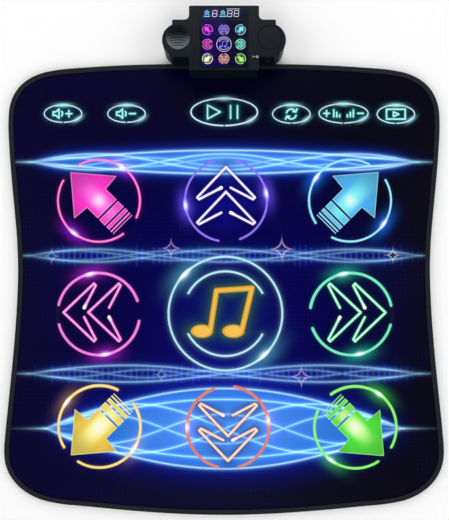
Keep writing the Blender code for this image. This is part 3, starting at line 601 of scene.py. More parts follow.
def pad_look(name, group):
    """A step pad's print: the ground, its ring, its figure and the lights round them."""
    look, shader, place = new_look("pad_print_" + name, 0.42, print_gloss)
    colour = ground_of(place, group)
    unit = ring_unit(name)
    here = placed(place, pad_middle(name), unit)
    rings = ring_lines(here, name)
    tube = (lower_tube_half if name in THICK_RINGS else tube_half) / unit
    soft = print_softness / unit
    colour = with_glow(colour, here, name, rings)
    if name == "centre":
        colour = with_note(colour, here, unit)
        ring, edge = CENTRE_RING, CENTRE_HALO
    else:
        kind, direction, bright, edge, ring = PADS[name][:5]
        if kind == "arrow":
            colour = with_arrow(colour, turned(here, direction), bright, edge, HEARTS[name], soft)
        else:
            middle = here.vector("SUBTRACT", (*CHEVRON_SHIFT.get(name, (0, 0)), 0))
            hot_side = -1 if name == "left" else 1
            colour = with_chevrons(colour, turned(middle, direction, False), bright, edge, hot_side, soft)
    colour = printed(colour, blend_of(ring, edge, 0.25), rings, tube, soft)
    colour = mixed(colour, ink(*ring), step(rings, tube * 0.9, tube * 0.3))
    finish_print(shader, place, with_sparks(colour, here, name))
    return look


def note_line(here, unit):
    """Distance to a beamed pair of notes."""
    scale = note_scale / unit
    found = [to_line(here, [(x * scale, y * scale) for x, y in note_stems])]
    for x, y in note_heads:
        off = here.vector("SUBTRACT", (x * scale, y * scale, 0)).vector("MULTIPLY", (0.74, 1.25, 1))
        found.append(off.length() - 5.5 * scale)
    return least(*found).math("MAXIMUM", 0.0)


# Each key's plain symbol, in millimetres from the key's middle: its bent lines, and its arcs with the place of
# their middle, their two directions in degrees and their radius
SPEAKER = ((-20, 3.5), (-15, 3.5), (-8, 9), (-8, -9), (-15, -3.5), (-20, -3.5), (-20, 3.5))
MINUS, PLUS_POST, SOUND = ((6, 0), (18, 0)), ((12, 6), (12, -6)), (-8, -38, 38, 7.0)
SYMBOLS = {
    "volume_up": ([SPEAKER, MINUS, PLUS_POST], [SOUND]),
    "volume_down": ([SPEAKER, MINUS], [SOUND]),
    "start_pause": (
        [((-34, 14), (-8, 0), (-34, -14), (-34, 14)), ((13, 13), (13, -13)), ((27, 13), (27, -13))], []),
    "mode": ([((3.5, 5.0), (9.3, 4.2), (11.5, 10)), ((-3.5, -5.0), (-9.3, -4.2), (-11.5, -10))],
             [(0, 25, 165, 10.0), (0, 205, 345, 10.0)]),
    "level_up": ([((-8, -7), (-8, -3)), ((-14, -7), (-14, 2)), ((-20, -7), (-20, 7)), ((-29, 0), (-40, 0)),
                  ((-34.5, 5.5), (-34.5, -5.5))], []),
    "level_down": ([((8, -7), (8, -3)), ((14, -7), (14, 2)), ((20, -7), (20, 7)), ((29, 0), (40, 0))], []),
    "demo": (
        [((-19, 10), (19, 10), (19, -10), (-19, -10), (-19, 10)), ((-5, 5), (6, 0), (-5, -5), (-5, 5))], []),
}


def key_look(name, group):
    """A touch key's print: the ground, its ellipse and its symbol."""
    look, shader, place = new_look("key_print_" + name, 0.42, print_gloss)
    colour = with_key_line(ground_of(place, group), place, name)
    line = key_symbol(placed(place, key_middle(name)[0], 0.001), name)
    colour = lit(colour, ink(40, 190, 200), fading(line, 2.4) * 0.60)
    colour = printed(colour, (176, 246, 240), line, 1.60, 0.25)
    finish_print(shader, place, colour)
    return look


def key_symbol(here, name):
    """Distance in millimetres to a key's plain symbol."""
    lines, arcs = SYMBOLS[name]
    found = [to_line(here, corners) for corners in lines]
    found += [to_arc(placed(here, (across, 0), 1.0), *arc) for across, *arc in arcs]
    return least(*found)


# Printed strings of light that swing as on a sounding string: the middle height and half length of each
# bundle, its harmonics with their swing and strength, and how brightly the space inside them is filled
BUNDLES = (
    (0.2120, 0.395, ((1, 0.0240, 1.0), (3, 0.0165, 0.75), (5, 0.0090, 0.45)), 0.85),
    (-0.3320, 0.365, ((1, 0.0820, 1.0), (1, 0.0600, 0.85), (2, 0.0500, 0.85), (3, 0.0300, 0.7)), 1.0),
    (0.0210, 0.400, ((3, 0.0130, 0.36), (4, 0.0100, 0.24)), 0.0),
    (-0.2200, 0.400, ((2, 0.0170, 0.50), (5, 0.0080, 0.26)), 0.0),
)


def with_bundle(colour, x, y, middle, half_length, strings, fill):
    """Adds one bundle of strings of light, each printed once above and once below its middle line."""
    off = (y - middle).size()
    reach = x.size()
    fade = step(reach, half_length + 0.012, half_length - 0.075)
    cores = None
    glows = None
    for harmonic, swing, strength in strings:
        turn = harmonic * pi / (2 * half_length)
        curve = ((x * turn + turn * half_length).math("SINE") * swing).size()
        away = (off - curve).size()
        core = fading(away, string_core) * strength
        glow = fading(away, string_glow) * strength
        if fill and cores is None:
            inside = step(curve - off, -0.002, 0.010) * fade
            colour = mixed(colour, ink(40, 132, 238), inside * (0.66 * fill))
            hot = spot_of(off, 0.75 * swing) * step(reach, 0.85 * half_length, 0.0)
            colour = lit(colour, ink(104, 150, 200), inside * hot * (0.45 * fill))
        cores = core if cores is None else cores + core
        glows = glow if glows is None else glows + glow
    flare = fading((reach - half_length).size(), 0.020) * fading(off, string_core) * (0.9 * strings[0][2])
    colour = lit(colour, ink(20, 84, 245), (glows * fade + flare) * 0.38)
    return lit(colour, ink(176, 240, 255), (cores * fade + flare) * 1.15)


def with_levels(colour, x, y, middle):
    """Adds a row of faint bars of uneven height, as a sound level meter shows them."""
    pitch = 0.0115
    count = (x * (1 / pitch)).math("FLOOR")
    inside = (x * (1 / pitch) - count - 0.5).size()
    chance = x.tree.nodes.new("ShaderNodeTexWhiteNoise")
    chance.noise_dimensions = "1D"
    join(count + middle * 100, chance.inputs["W"])
    height = Field(chance.outputs["Value"]) * 0.020 + 0.003
    off = (y - middle).size()
    bar = step(inside, 0.20, 0.12) * step(off - height, 0.0010, -0.0010) * step(x.size(), 0.42, 0.30)
    return lit(colour, ink(36, 66, 215), bar * step(off, 0.030, 0.0) * 0.55)


def with_dots(colour, place):
    """Adds a faint screen of small dots that comes and goes."""
    pitch = 0.0090
    cell = place.vector("MULTIPLY_ADD", (1 / pitch, 1 / pitch, 0), (0.5, 0.5, 0)).vector("FRACTION")
    dot = step(cell.distance((0.5, 0.5, 0)), 0.15, 0.09)
    cloud = step(grain(place, 0.11, 1.0), 0.46, 0.66)
    below_keys = step(place.dot((0, 1, 0)), 0.19, 0.15)
    return lit(colour, ink(36, 56, 200), dot * cloud * below_keys * 0.14)


def with_arrow(ground, figure, bright, edge, heart, soft):
    """A filled arrow with pale edges, hottest along its middle, whose tail breaks up into bars."""
    inside = arrow_area(figure, soft)
    within = arrow_area(figure, soft, arrow_edge)
    along = figure.dot((1, 0, 0))
    across = figure.dot((0, 1, 0))
    fill = mixed(ink(*bright), ink(*edge), step(across, 0.10, 0.34) * 0.6)
    dull = tuple(0.64 * b + 0.15 * e for b, e in zip(bright, edge))
    fill = mixed(fill, ink(*dull), most(step(along, 0.10, 0.85), step(across, 0.30, 0.70)) * 0.95)
    fill = mixed(fill, ink(*blend_of(bright, dull, 0.3)), step(along, -0.30, -0.34))
    for back, wide, high, strength in ((0.0, 0.60, 0.28, 0.95), (0.43, 0.20, 0.24, 0.60)):
        fill = mixed(fill, ink(*heart), step(to_oval(figure, (-back, 0), wide, high), 1.0, 0.1) * strength)
    fill = mixed(fill, (0.97, 0.97, 0.90), spot_of(figure.length(), 0.13) * 0.7)
    rim = ink(*blend_of(bright, (225, 225, 225), 0.5))
    return mixed(ground, mixed(mixed(fill, rim, 0.6), fill, within), inside)


def with_chevrons(ground, figure, bright, edge, hot_side, soft):
    """Two open chevrons as bent tubes of light, with a dark shade beside them and one hot end each."""
    line = chevrons_line(pair(figure.dot((1, 0, 0)), figure.dot((0, 1, 0)).size()))
    half = chevron_half / ring_radius
    ground = mixed(ground, ink(2, 1, 14), fading(line, 0.10) * 0.85)
    ground = lit(ground, ink(*edge), fading(line, 0.020) * 0.50)
    ground = printed(ground, blend_of(bright, edge, 0.5), line, half, soft)
    ground = mixed(ground, ink(*bright), step(line, half * 0.95, half * 0.45))
    behind, aside = chevron_corners[-1]
    for back, side in ((0, hot_side), (chevron_step, -hot_side)):
        near = spot_of(figure.distance((chevron_apex - back - behind, side * aside, 0)), 0.085)
        ground = mixed(ground, ink(255, 250, 255), step(line, half * 1.3 + soft, half * 1.3 - soft) * near)
    return ground


def with_note(ground, here, unit):
    """A pair of beamed notes with a green light round them."""
    note = note_line(here, unit)
    half = note_half / unit
    ground = mixed(ground, ink(14, 70, 34), fading(note, 0.13) * 0.80)
    ground = lit(ground, ink(96, 150, 20), fading(note, 0.050) * 0.60)
    ground = printed(ground, (222, 160, 52), note, half, print_softness / unit)
    return mixed(ground, ink(250, 205, 92), step(note, half * 0.75, 0.0) * 0.8)


def sides_of(points):
    """Each point of a closed outline with the next one."""
    return list(zip(points, points[1:] + points[:1]))


def corners_of(points):
    """Each point of a closed outline between its two neighbours."""
    return list(zip(points[-1:] + points[:-1], points, points[1:] + points[:1]))


def travel_along(points):
    """How far round a closed outline each of its points lies, and at the end its whole length."""
    return list(accumulate(((b - a).length for a, b in sides_of(points)), initial=0.0))


def nearest_among(points):
    """A search tree of the points."""
    tree = KDTree(len(points))
    for i, point in enumerate(points):
        tree.insert(point, i)
    tree.balance()
    return tree


def stacked(bm, rings):
    """A closed body through outlines of one count, each with its height, from the lowest to the highest."""
    loops = []
    for points, height in rings:
        ring = [bm.verts.new((p[0], p[1], height)) for p in points]
        loops.append([bm.edges.new(ends) for ends in sides_of(ring)])
    for lower, upper in zip(loops, loops[1:]):
        bmesh.ops.bridge_loops(bm, edges=lower + upper)
    for edges in (loops[0], loops[-1]):
        bmesh.ops.contextual_create(bm, geom=edges)
    bmesh.ops.recalc_face_normals(bm, faces=bm.faces)


def top_loops(node):
    """The closed edges of a CAD node's flat top, the longest first."""
    bm = bmesh.new()
    bm.from_mesh(nodes[node].data)
    bmesh.ops.remove_doubles(bm, verts=bm.verts, dist=0.000002)
    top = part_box(node)[1].z
    flat = {f for f in bm.faces if all(abs(v.co.z - top) < 0.000005 for v in f.verts)}
    after = {}
    for face in flat:
        for loop in face.loops:
            if sum(f in flat for f in loop.edge.link_faces) == 1:
                after[loop.vert] = loop.link_loop_next.vert
    loops = []
    while after:
        start, following = after.popitem()
        line = [start.co.copy()]
        while following in after:
            line.append(following.co.copy())
            following = after.pop(following)
        loops.append(line)
    bm.free()
    return sorted(loops, key=len, reverse=True)


def smooth_outline(points, steps):
    """A smooth closed curve through an outline's points, with steps to each stretch."""
    gaps = [(after - here).length for here, after in sides_of(points)]
    slopes = []
    for i, (before, here, after) in enumerate(corners_of(points)):
        gap_in, gap_out = gaps[i - 1], gaps[i]
        way = (here - before) / gap_in * gap_out + (after - here) / gap_out * gap_in
        slopes.append(way / (gap_in + gap_out))
    made = []
    for (here, after), (slope, next_slope), gap in zip(sides_of(points), sides_of(slopes), gaps):
        leaving = here + slope * (gap / 3)
        arriving = after - next_slope * (gap / 3)
        made += interpolate_bezier(here, leaving, arriving, after, steps + 1)[:-1]
    return made


def mesh_of(name, bm):
    """A bmesh as a mesh; the bmesh is used up."""
    mesh = bpy.data.meshes.new(name)
    bm.to_mesh(mesh)
    bm.free()
    return mesh


def shown(name, data):
    """A new object in the scene."""
    made = bpy.data.objects.new(name, data)
    bpy.context.scene.collection.objects.link(made)
    return made


def piece(name, bm, look, body, smooth_angle=40):
    """Turns a bmesh into a named object that rides on a body."""
    mesh = mesh_of(name, bm)
    made = shown(name, mesh)
    mesh.materials.append(look)
    mesh.shade_smooth()
    mesh.set_sharp_from_angle(angle=radians(smooth_angle))
    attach(made, body)
    return made


def repeated(shape, places):
    """Copies of a small shape at many places, as one bmesh."""
    one = mesh_of("one", shape)
    made = bmesh.new()
    for place in places:
        copy = one.copy()
        copy.transform(place)
        made.from_mesh(copy)
        bpy.data.meshes.remove(copy)
    bpy.data.meshes.remove(one)
    return made


def spread_to(middle, size):
    """Brings a shape of size 1 to a middle and a size."""
    return Matrix.Translation(middle) @ Matrix.Diagonal((*size, 1))


def thicken(bm, rise):
    """Gives flat faces a thickness, upwards or, where rise is below zero, downwards."""
    grown = bmesh.ops.extrude_face_region(bm, geom=bm.faces[:], use_keep_orig=True)
    moved = [v for v in grown["geom"] if isinstance(v, bmesh.types.BMVert)]
    bmesh.ops.translate(bm, verts=moved, vec=(0, 0, rise))
    bmesh.ops.recalc_face_normals(bm, faces=bm.faces)


def spun(bm, line, middle, axis, steps):
    """Turns a line of points once round an axis into a closed body."""
    edges = [bm.edges.new(ends) for ends in zip(line, line[1:])]
    bmesh.ops.spin(bm, geom=line + edges, cent=middle, axis=axis, angle=2 * pi, steps=steps, use_merge=True)
    bmesh.ops.remove_doubles(bm, verts=bm.verts, dist=0.000001)
    bmesh.ops.recalc_face_normals(bm, faces=bm.faces)


def prism(bm, points, low, high):
    """A closed column over an outline."""
    part = bmesh.new()
    part.faces.new([part.verts.new((p[0], p[1], low)) for p in points])
    thicken(part, high - low)
    mesh = mesh_of("column", part)
    bm.from_mesh(mesh)
    bpy.data.meshes.remove(mesh)


def cut(bm, cutter, operation):
    """The bmesh after a Boolean with another one, both of which are used up."""
    body, tool = (shown(name, mesh_of(name, shape)) for name, shape in (("body", bm), ("tool", cutter)))
    modifier = body.modifiers.new("cut", "BOOLEAN")
    modifier.operation = operation
    modifier.solver = "EXACT"
    modifier.object = tool
    result = bmesh.new()
    result.from_object(body, bpy.context.evaluated_depsgraph_get())
    for made in (body, tool):
        mesh = made.data
        bpy.data.objects.remove(made)
        bpy.data.meshes.remove(mesh)
    return result


def moved_in(points, inset):
    """The outline moved inwards all round."""
    made = []
    for before, here, after in corners_of(points):
        way = (after - before).normalized()
        made.append(here + Vector((-way.y, way.x, 0)) * inset)
    return made


# The mat's outermost edge, counterclockwise; the frame's binding has it a little further out than its flat top
outline = top_loops("edge_binding")[0]
if sum(a.x * b.y - b.x * a.y for a, b in sides_of(outline)) < 0:
    outline.reverse()
top_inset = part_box("edge_binding")[1].x - max(p.x for p in outline)
mat_edge = moved_in(smooth_outline([Vector((p.x, p.y, 0)) for p in outline], 6), -top_inset)


def area_of(points):
    """The area inside a closed outline."""
    return abs(sum(a[0] * b[1] - b[0] * a[1] for a, b in sides_of(points))) / 2


def spread_of(points):
    """The width and length of a closed outline."""
    return tuple(max(p[k] for p in points) - min(p[k] for p in points) for k in (0, 1))


def round_pads():
    """The middle and radius of every step pad."""
    made = []
    for name in PAD_NAMES:
        low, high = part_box("pad_" + name)
        made.append(((low + high) / 2, (high.x - low.x) / 2))
    return made


def make_cover(look):
    """The printed sheet with a hole for each pad and key. It lies in soft waves, with puckers at the tape."""
    low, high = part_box("printed_cover")
    size = high - low
    middle = (low + high) / 2
    bm = bmesh.new()
    bmesh.ops.create_grid(
        bm, x_segments=round(size.x / cover_cell), y_segments=round(size.y / cover_cell), size=0.5,
        matrix=spread_to((middle.x, middle.y, low.z), (size.x + cover_cell, size.y + cover_cell, 1)))
    thicken(bm, size.z)
    sheet_edge = moved_in(mat_edge, cover_under_binding)
    around = bmesh.new()
    prism(around, sheet_edge, low.z - 0.01, high.z + 0.01)
    bm = cut(bm, around, "INTERSECT")
    holes = bmesh.new()
    rounds = round_pads()
    for spot, radius in rounds:
        bmesh.ops.create_cone(
            holes, cap_ends=True, segments=128, depth=0.04, radius1=radius + seam_gap,
            radius2=radius + seam_gap, matrix=Matrix.Translation((spot.x, spot.y, high.z)))
    for name in KEY_NAMES:
        prism(holes, key_outline(name, -seam_gap), low.z - 0.01, high.z + 0.01)
    bm = cut(bm, holes, "DIFFERENCE")
    dense = smooth_outline(mat_edge, 4)
    rim = nearest_among(dense)
    travelled = travel_along(dense)
    ovals = [key_middle(name) for name in KEY_NAMES]
    for vert in bm.verts:
        flat = Vector((vert.co.x, vert.co.y, 0))
        _, index, away = rim.find(flat)
        clear = min(hypot(flat.x - m.x, flat.y - m.y) - r for m, r in rounds)
        for m, half in ovals:
            clear = min(clear, (hypot((flat.x - m.x) / half.x, (flat.y - m.y) / half.y) - 1) * half.y)
        calm = min(1, max(0, clear / calm_reach))
        calm = calm * calm * (3 - 2 * calm)
        fold = sin(2 * pi * travelled[index] / pucker_pitch + 3 * noise.noise(flat * 9))
        near_tape = max(0.0, 1 - max(0.0, away - tape_width) / pucker_reach) ** 2
        wave = noise.noise(flat / wave_size) * wave_height
        vert.co.z += (wave + fold * pucker_height * near_tape) * calm
    made = piece("mat_cover_sheet", bm, look, "mat")
    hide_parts("printed_cover")
    left_over = area_of(sheet_edge) - sum(pi * r * r for _, r in rounds)
    left_over -= sum(area_of(key_outline(name, 0)) for name in KEY_NAMES)
    spread_of(sheet_edge)


def key_outline(name, inset):
    """A key's edge as the frame has it, moved inwards."""
    middle, half = key_middle(name)
    across = half.x - inset
    along = half.y - inset
    if name.startswith("level"):
        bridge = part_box("key_level_down")[0].x - middle.x + inset
        start = pi / 2 - asin(bridge / across)
        side = 1 if name == "level_down" else -1
        turns = [-start + 2 * start * i / 40 for i in range(41)][::side]
    else:
        side = 1
        turns = [2 * pi * i / 64 for i in range(64)]
    return [(middle.x + side * across * cos(turn), middle.y + along * sin(turn)) for turn in turns]


def make_pad(name, look):
    """A step pad: a round skin over foam that rises steeply at its rim and is nearly flat in its middle."""
    low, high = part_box("pad_" + name)
    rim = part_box("printed_cover")[1].z
    middle = (low + high) / 2
    radius = (high.x - low.x) / 2
    crown = high.z - rim
    profile = []
    for i in range(pad_steps + 1):
        r = radius * (1 - (1 - i / pad_steps) ** 2)
        t = min(1.0, (radius - r) / pad_slope)
        swell = 0.90 * (1 - (1 - t) ** 2.6) + 0.10 * (1 - (r / radius) ** 2)
        profile.append((r, rim + crown * swell))
    profile += [(radius, low.z + 0.0003), (radius - 0.0003, low.z), (0, low.z)]
    bm = bmesh.new()
    spun(bm, [bm.verts.new((middle.x + r, middle.y, z)) for r, z in profile], middle, (0, 0, 1), 128)
    for vert in bm.verts:
        offset = vert.co - middle
        inwards = radius - hypot(offset.x, offset.y)
        if vert.co.z > rim:
            near_rim = max(0.0, 1 - inwards / pad_wrinkle_reach) * min(1.0, inwards / 0.004)
            wrinkle = noise.noise(vert.co * 90) * pad_wrinkle * near_rim
            vert.co.z += wrinkle + noise.noise(vert.co * 22) * pad_wave
    made = piece("skin_" + name, bm, look, "step_" + name, 60)
    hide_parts("pad_" + name)
    level_press(made, "press_" + name, rim)


def make_key(name, look, stem_look):
    """A touch key: a low domed skin, and the stem below it that reaches down to the contact film."""
    low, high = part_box("key_" + name)
    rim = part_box("printed_cover")[1].z
    crown = high.z - rim
    skirt = rim - key_skirt
    edge = key_outline(name, 0)
    rings = [(key_outline(name, 0.0002), skirt), (edge, skirt + 0.0002), (edge, rim)]
    for k in range(1, key_steps + 1):
        t = k / key_steps
        rings.append((key_outline(name, key_slope * t), rim + crown * (1 - (1 - t) ** 2.4)))
    bm = bmesh.new()
    stacked(bm, rings)
    made = piece("skin_key_" + name, bm, look, "key_" + name, 60)
    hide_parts("key_" + name)
    level_press(made, "press_" + name, rim)
    top = skirt - touch_gap
    middle = (low + high) / 2
    stem = bmesh.new()
    bmesh.ops.create_cone(
        stem, cap_ends=True, segments=40, radius1=key_stem_radius * 0.92, radius2=key_stem_radius,
        depth=top - low.z, matrix=Matrix.Translation((middle.x, middle.y, (top + low.z) / 2)))
    rims = [e for e in stem.edges if abs(e.verts[0].co.z - e.verts[1].co.z) < touch_gap]
    bmesh.ops.bevel(stem, geom=rims, offset=0.0005, segments=3, profile=0.5, affect="EDGES", material=-1)
    post = piece("stem_key_" + name, stem, stem_look, "key_" + name, 60)


def level_press(made, joint, rim):
    """The skin is welded to the cover at its rim. Reads how far the press joint travels and gives the skin its own
    mesh.
    """
    travel = next(j["range_m"][1] for j in frame["joints"] if j["name"] == joint)
    keep = 0.04
    rim + travel / (1 - keep)
    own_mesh(made)


def tape_profile(half):
    """The folded tape's section: how far each corner lies out from the mat's edge and up from its middle."""
    outer = []
    for side in (1, -1):
        turns = [pi / 12 * k for k in range(7)]
        arc = [(tape_bend * (sin(turn) - 1), half + tape_bend * (cos(turn) - 1)) for turn in turns]
        flange = [(-tape_width, half - tape_thickness / 2), (0.0003 - tape_width, half - 0.00008),
                  (-stitch_line - 0.0014, half), (-stitch_line - 0.0005, half - 0.00012),
                  (-stitch_line, half - 0.00018), (-stitch_line + 0.0005, half - 0.00012),
                  (-stitch_line + 0.0014, half)]
        outer += [(a, side * b) for a, b in flange + arc][::side]
    bend = tape_bend - tape_thickness
    inner = [(0.0002 - tape_width, half - tape_thickness + 0.00008)]
    turns = [pi / 8 * k for k in range(5)]
    inner += [(bend * sin(turn) - tape_bend, half - tape_bend + bend * cos(turn)) for turn in turns]
    return outer + [(a, -b) for a, b in inner] + inner[::-1]


def stitch_places(top):
    """Where each stitch of the two rows lies, and how it is turned."""
    places = []
    for z in (0.00034, top - 0.00010):
        reach = 0.0
        for here, after in sides_of(mat_edge):
            gap = (after - here).length
            way = (after - here).normalized()
            inward = Vector((-way.y, way.x, 0))
            turn = Matrix.Rotation(way.to_2d().angle_signed(Vector((1, 0))), 4, "Z")
            while reach < gap:
                spot = here + way * reach + inward * stitch_line
                places.append(Matrix.Translation((spot.x, spot.y, z)) @ turn)
                reach += stitch_pitch
            reach -= gap
    return places


def make_binding(look, thread):
    """The woven tape folded over the mat's edge, and its two rows of stitches."""
    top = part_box("edge_binding")[1].z
    half = top / 2
    profile = tape_profile(half)
    bm = bmesh.new()
    rows = []
    for before, here, after in corners_of(mat_edge):
        way = (after - before).normalized()
        out = Vector((way.y, -way.x, 0))
        rows.append([bm.verts.new(here + out * a + Vector((0, 0, half + b))) for a, b in profile])
    lengths = travel_along(mat_edge)
    across = travel_along([Vector(p) for p in profile])
    uv = bm.loops.layers.uv.new("tape")
    for i, (row, following) in enumerate(sides_of(rows)):
        for k, (corner, far_corner) in enumerate(zip(sides_of(row), sides_of(following))):
            face = bm.faces.new((corner[0], far_corner[0], far_corner[1], corner[1]))
            for loop, (along, side) in zip(face.loops, ((i, k), (i + 1, k), (i + 1, k + 1), (i, k + 1))):
                loop[uv].uv = (lengths[along], across[side])
    bmesh.ops.recalc_face_normals(bm, faces=bm.faces)
    tape = piece("edge_tape", bm, look, "mat")
    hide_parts("edge_binding")
    one = bmesh.new()
    stitch = Matrix.Diagonal((stitch_half * 0.75, stitch_half, stitch_length / 2, 1))
    bmesh.ops.create_uvsphere(
        one, u_segments=8, v_segments=5, radius=1.0, matrix=Matrix.Rotation(pi / 2, 4, "Y") @ stitch)
    stitches = piece("edge_tape_stitches", repeated(one, stitch_places(top)), thread, "mat", 80)


def make_backing(look, dot_look):
    """The non-slip underside: a thin sheet with rows of low rubber dots, which leave out the clamp bar."""
    low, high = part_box("backing")
    bm = bmesh.new()
    sheet_edge = moved_in(mat_edge, tape_width + 0.0004)
    prism(bm, sheet_edge, low.z + dot_height, high.z)
    made = piece("mat_backing_sheet", bm, look, "mat")
    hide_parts("backing")
    one = bmesh.new()
    bmesh.ops.create_cone(
        one, cap_ends=True, segments=8, radius1=dot_radius * 0.7, radius2=dot_radius, depth=dot_height,
        matrix=Matrix.Translation((0, 0, dot_height / 2)))
    rim = nearest_among(mat_edge)
    bar_low, bar_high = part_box("clamp_bar")
    clear = 2 * dot_radius
    places = []
    for row in range(int((high.y - low.y) / (dot_pitch * dot_row_share)) + 1):
        y = low.y + row * dot_pitch * dot_row_share
        for column in range(int((high.x - low.x) / dot_pitch) + 1):
            x = low.x + (column + 0.5 * (row % 2)) * dot_pitch
            spot = Vector((x, y, 0))
            nearest, index, away = rim.find(spot)
            way = mat_edge[(index + 1) % len(mat_edge)] - mat_edge[index - 1]
            outside = way.cross(spot - nearest).z < 0 or away < tape_width + dot_margin
            at_bar = bar_low.x - clear < x < bar_high.x + clear and bar_low.y - clear < y < bar_high.y + clear
            if not outside and not at_bar:
                places.append(Matrix.Translation(spot))
    dots = piece("mat_backing_dots", repeated(one, places), dot_look, "mat")
    spread_of(sheet_edge)
    area_of(sheet_edge)


def simple_look(name, colour, roughness, specular=0.5, uneven=0.15, size=0.01, relief=0.0, relief_size=0.001,
                metallic=0.0):
    """A plain moulded or formed material whose colour and gloss are slightly uneven."""
    look, shader, place = new_look(name, roughness, specular, metallic)
    cloud = grain(place, size, 3.0)
    dark = tuple(c * (1 - uneven) for c in ink(*colour))
    pale = tuple(min(1, c * (1 + uneven)) for c in ink(*colour))
    join(mixed(dark, pale, cloud), shader.inputs["Base Color"])
    uneven_gloss(shader, cloud, roughness * 0.88, min(1, roughness * 1.12))
    if relief:
        raised(shader, grain(place, relief_size, 2.0, 0.6), relief)
    return look


def tape_look():
    """Black woven tape: ribs across and along it."""
    look, shader, place = new_look("black_woven_tape", 0.75, 0.2)
    uv = place.tree.nodes.new("ShaderNodeUVMap")
    uv.uv_map = "tape"
    along_tape = Field(uv.outputs[0])
    rib = (along_tape.dot((2 * pi / rib_pitch, 0, 0))).math("SINE")
    weft = (along_tape.dot((pi / rib_pitch, 2 * pi / weft_pitch, 0))).math("SINE")
    weave = rib * 0.5 + weft * 0.5
    colour = mixed(ink(8, 10, 15), ink(28, 34, 46), step(weave, -0.8, 1.0))
    colour = mixed(colour, ink(14, 17, 24), grain(place, 0.03, 3.0) * 0.6)
    join(colour, shader.inputs["Base Color"])
    raised(shader, weave, 0.00012)
    return look


def assign(node, look):
    """Gives a CAD node's own mesh a finish."""
    for slot in nodes[node].material_slots:
        slot.material = look


# The console's nine lit icons: colour of each figure and its ring
ICONS = {
    "up_left": (235, 72, 222), "up": (150, 132, 242), "up_right": (122, 220, 236),
    "left": (232, 84, 192), "centre": (196, 188, 250), "right": (132, 232, 216),
    "down_left": (240, 240, 184), "down": (242, 172, 152), "down_right": (164, 236, 112),
}


def soften_edges(made, width):
    """Rounds a piece's sharp edges a little; its flat faces stay flat to the light."""
    soften = made.modifiers.new("soft_edges", "BEVEL")
    soften.width = width
    soften.segments = 2
    soften.limit_method = "ANGLE"
    soften.angle_limit = radians(35)
    soften.use_clamp_overlap = False
    flat = made.modifiers.new("flat_faces", "WEIGHTED_NORMAL")
    flat.weight = 100
    flat.keep_sharp = True


def refined(node, look, width=0.00025, angle=50, marks=()):
    """A CAD node's own shape with marks cut into it and its sharp edges softly rounded."""
    bm = bmesh.new()
    bm.from_mesh(nodes[node].data)
    bmesh.ops.remove_doubles(bm, verts=bm.verts, dist=0.000002)
    for mark in marks:
        bm = cut(bm, mark, "DIFFERENCE")
    bmesh.ops.dissolve_limit(bm, angle_limit=radians(0.5), verts=bm.verts, edges=bm.edges)
    made = piece(node + "_shape", bm, look, body_of[node], angle)
    soften_edges(made, width)
    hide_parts(node)


def door_marks():
    """Grip grooves for the thumb, and an arrow that points the way the door slides."""
    low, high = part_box("battery_door")
    middle = (low.x + high.x) / 2
    first = high.y - 0.014
    marks = bmesh.new()
    for k in range(5):
        spot = (middle, first - k * groove_pitch, low.z)
        bmesh.ops.create_cube(marks, size=1.0, matrix=spread_to(spot, groove_size))
    base = first - 7 * groove_pitch
    arrow = [(middle - 0.0042, base), (middle + 0.0042, base), (middle, base + 0.0062)]
    prism(marks, arrow, low.z - 0.0004, low.z + 0.0004)
    return marks


def make_screw(name, look):
    """A screw with a cross recess in its head, which faces the floor."""
    low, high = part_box(name)
    middle = (low + high) / 2
    bars = []
    for across in ((recess_length, recess_width), (recess_width, recess_length)):
        bar = bmesh.new()
        place = spread_to((middle.x, middle.y, low.z), (*across, 2 * recess_depth))
        bmesh.ops.create_cube(bar, size=1.0, matrix=place)
        bars.append(bar)
    refined(name, look, 0.00008, 30, bars)


def cell_wrap_look():
    """The printed wrap of a round cell: blue, with a silver band and a plus sign at its contact's end."""
    look, shader, place = new_look("cell_wrap", 0.30)
    low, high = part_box("battery_2")
    middle = (low.z + high.z) / 2
    x = place.dot((1, 0, 0)).math("WRAP", cell_pitch / 2, -cell_pitch / 2)
    y = place.dot((0, 1, 0)) - (high.y - cell_nub[1] - cell_band / 2)
    here = pair(x, y)
    plus = least(to_stroke(here, (-0.0022, 0), (0.0022, 0)), to_stroke(here, (0, -0.0022), (0, 0.0022)))
    below = step(place.dot((0, 0, 1)), middle, middle - 0.001)
    colour = mixed(ink(22, 54, 104), ink(34, 76, 132), grain(place, 0.008, 3.0))
    colour = printed(colour, (176, 180, 186), y.size(), cell_band / 2, 0.0001)
    colour = mixed(colour, ink(30, 32, 38), step(plus, 0.00050, 0.00040) * below)
    join(colour, shader.inputs["Base Color"])
    uneven_gloss(shader, grain(place, 0.004, 2.0), 0.26, 0.36)
    return look


def make_cell(name, wrap, metal):
    """A round cell: its wrapped side, its flat end and its raised contact."""
    low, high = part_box(name)
    middle = (low + high) / 2
    radius = (high.x - low.x) / 2
    length = high.y - low.y
    nub, nub_height = cell_nub
    end = length - nub_height
    profile = (
        (0, 0.0002), (radius - 0.0020, 0.0002), (radius - 0.0016, 0.0005), (radius - 0.0010, 0.0005),
        (radius - 0.0007, 0), (radius - 0.0002, 0.0002), (radius, 0.0007), (radius, end - 0.0007),
        (radius - 0.0002, end - 0.0002), (radius - 0.0007, end), (radius - 0.0010, end - 0.0005),
        (nub + 0.0008, end - 0.0005), (nub, end - 0.0003), (nub, length - 0.0004), (nub - 0.0004, length),
        (0, length))
    bm = bmesh.new()
    spun(bm, [bm.verts.new((middle.x + r, low.y + y, middle.z)) for r, y in profile], middle, (0, 1, 0), 48)
    for face in bm.faces:
        spot = face.calc_center_median() - middle
        face.material_index = int(hypot(spot.x, spot.z) < radius - 0.0009)
    made = piece(name + "_shape", bm, wrap, body_of[name], 30)
    made.data.materials.append(metal)
    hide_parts(name)


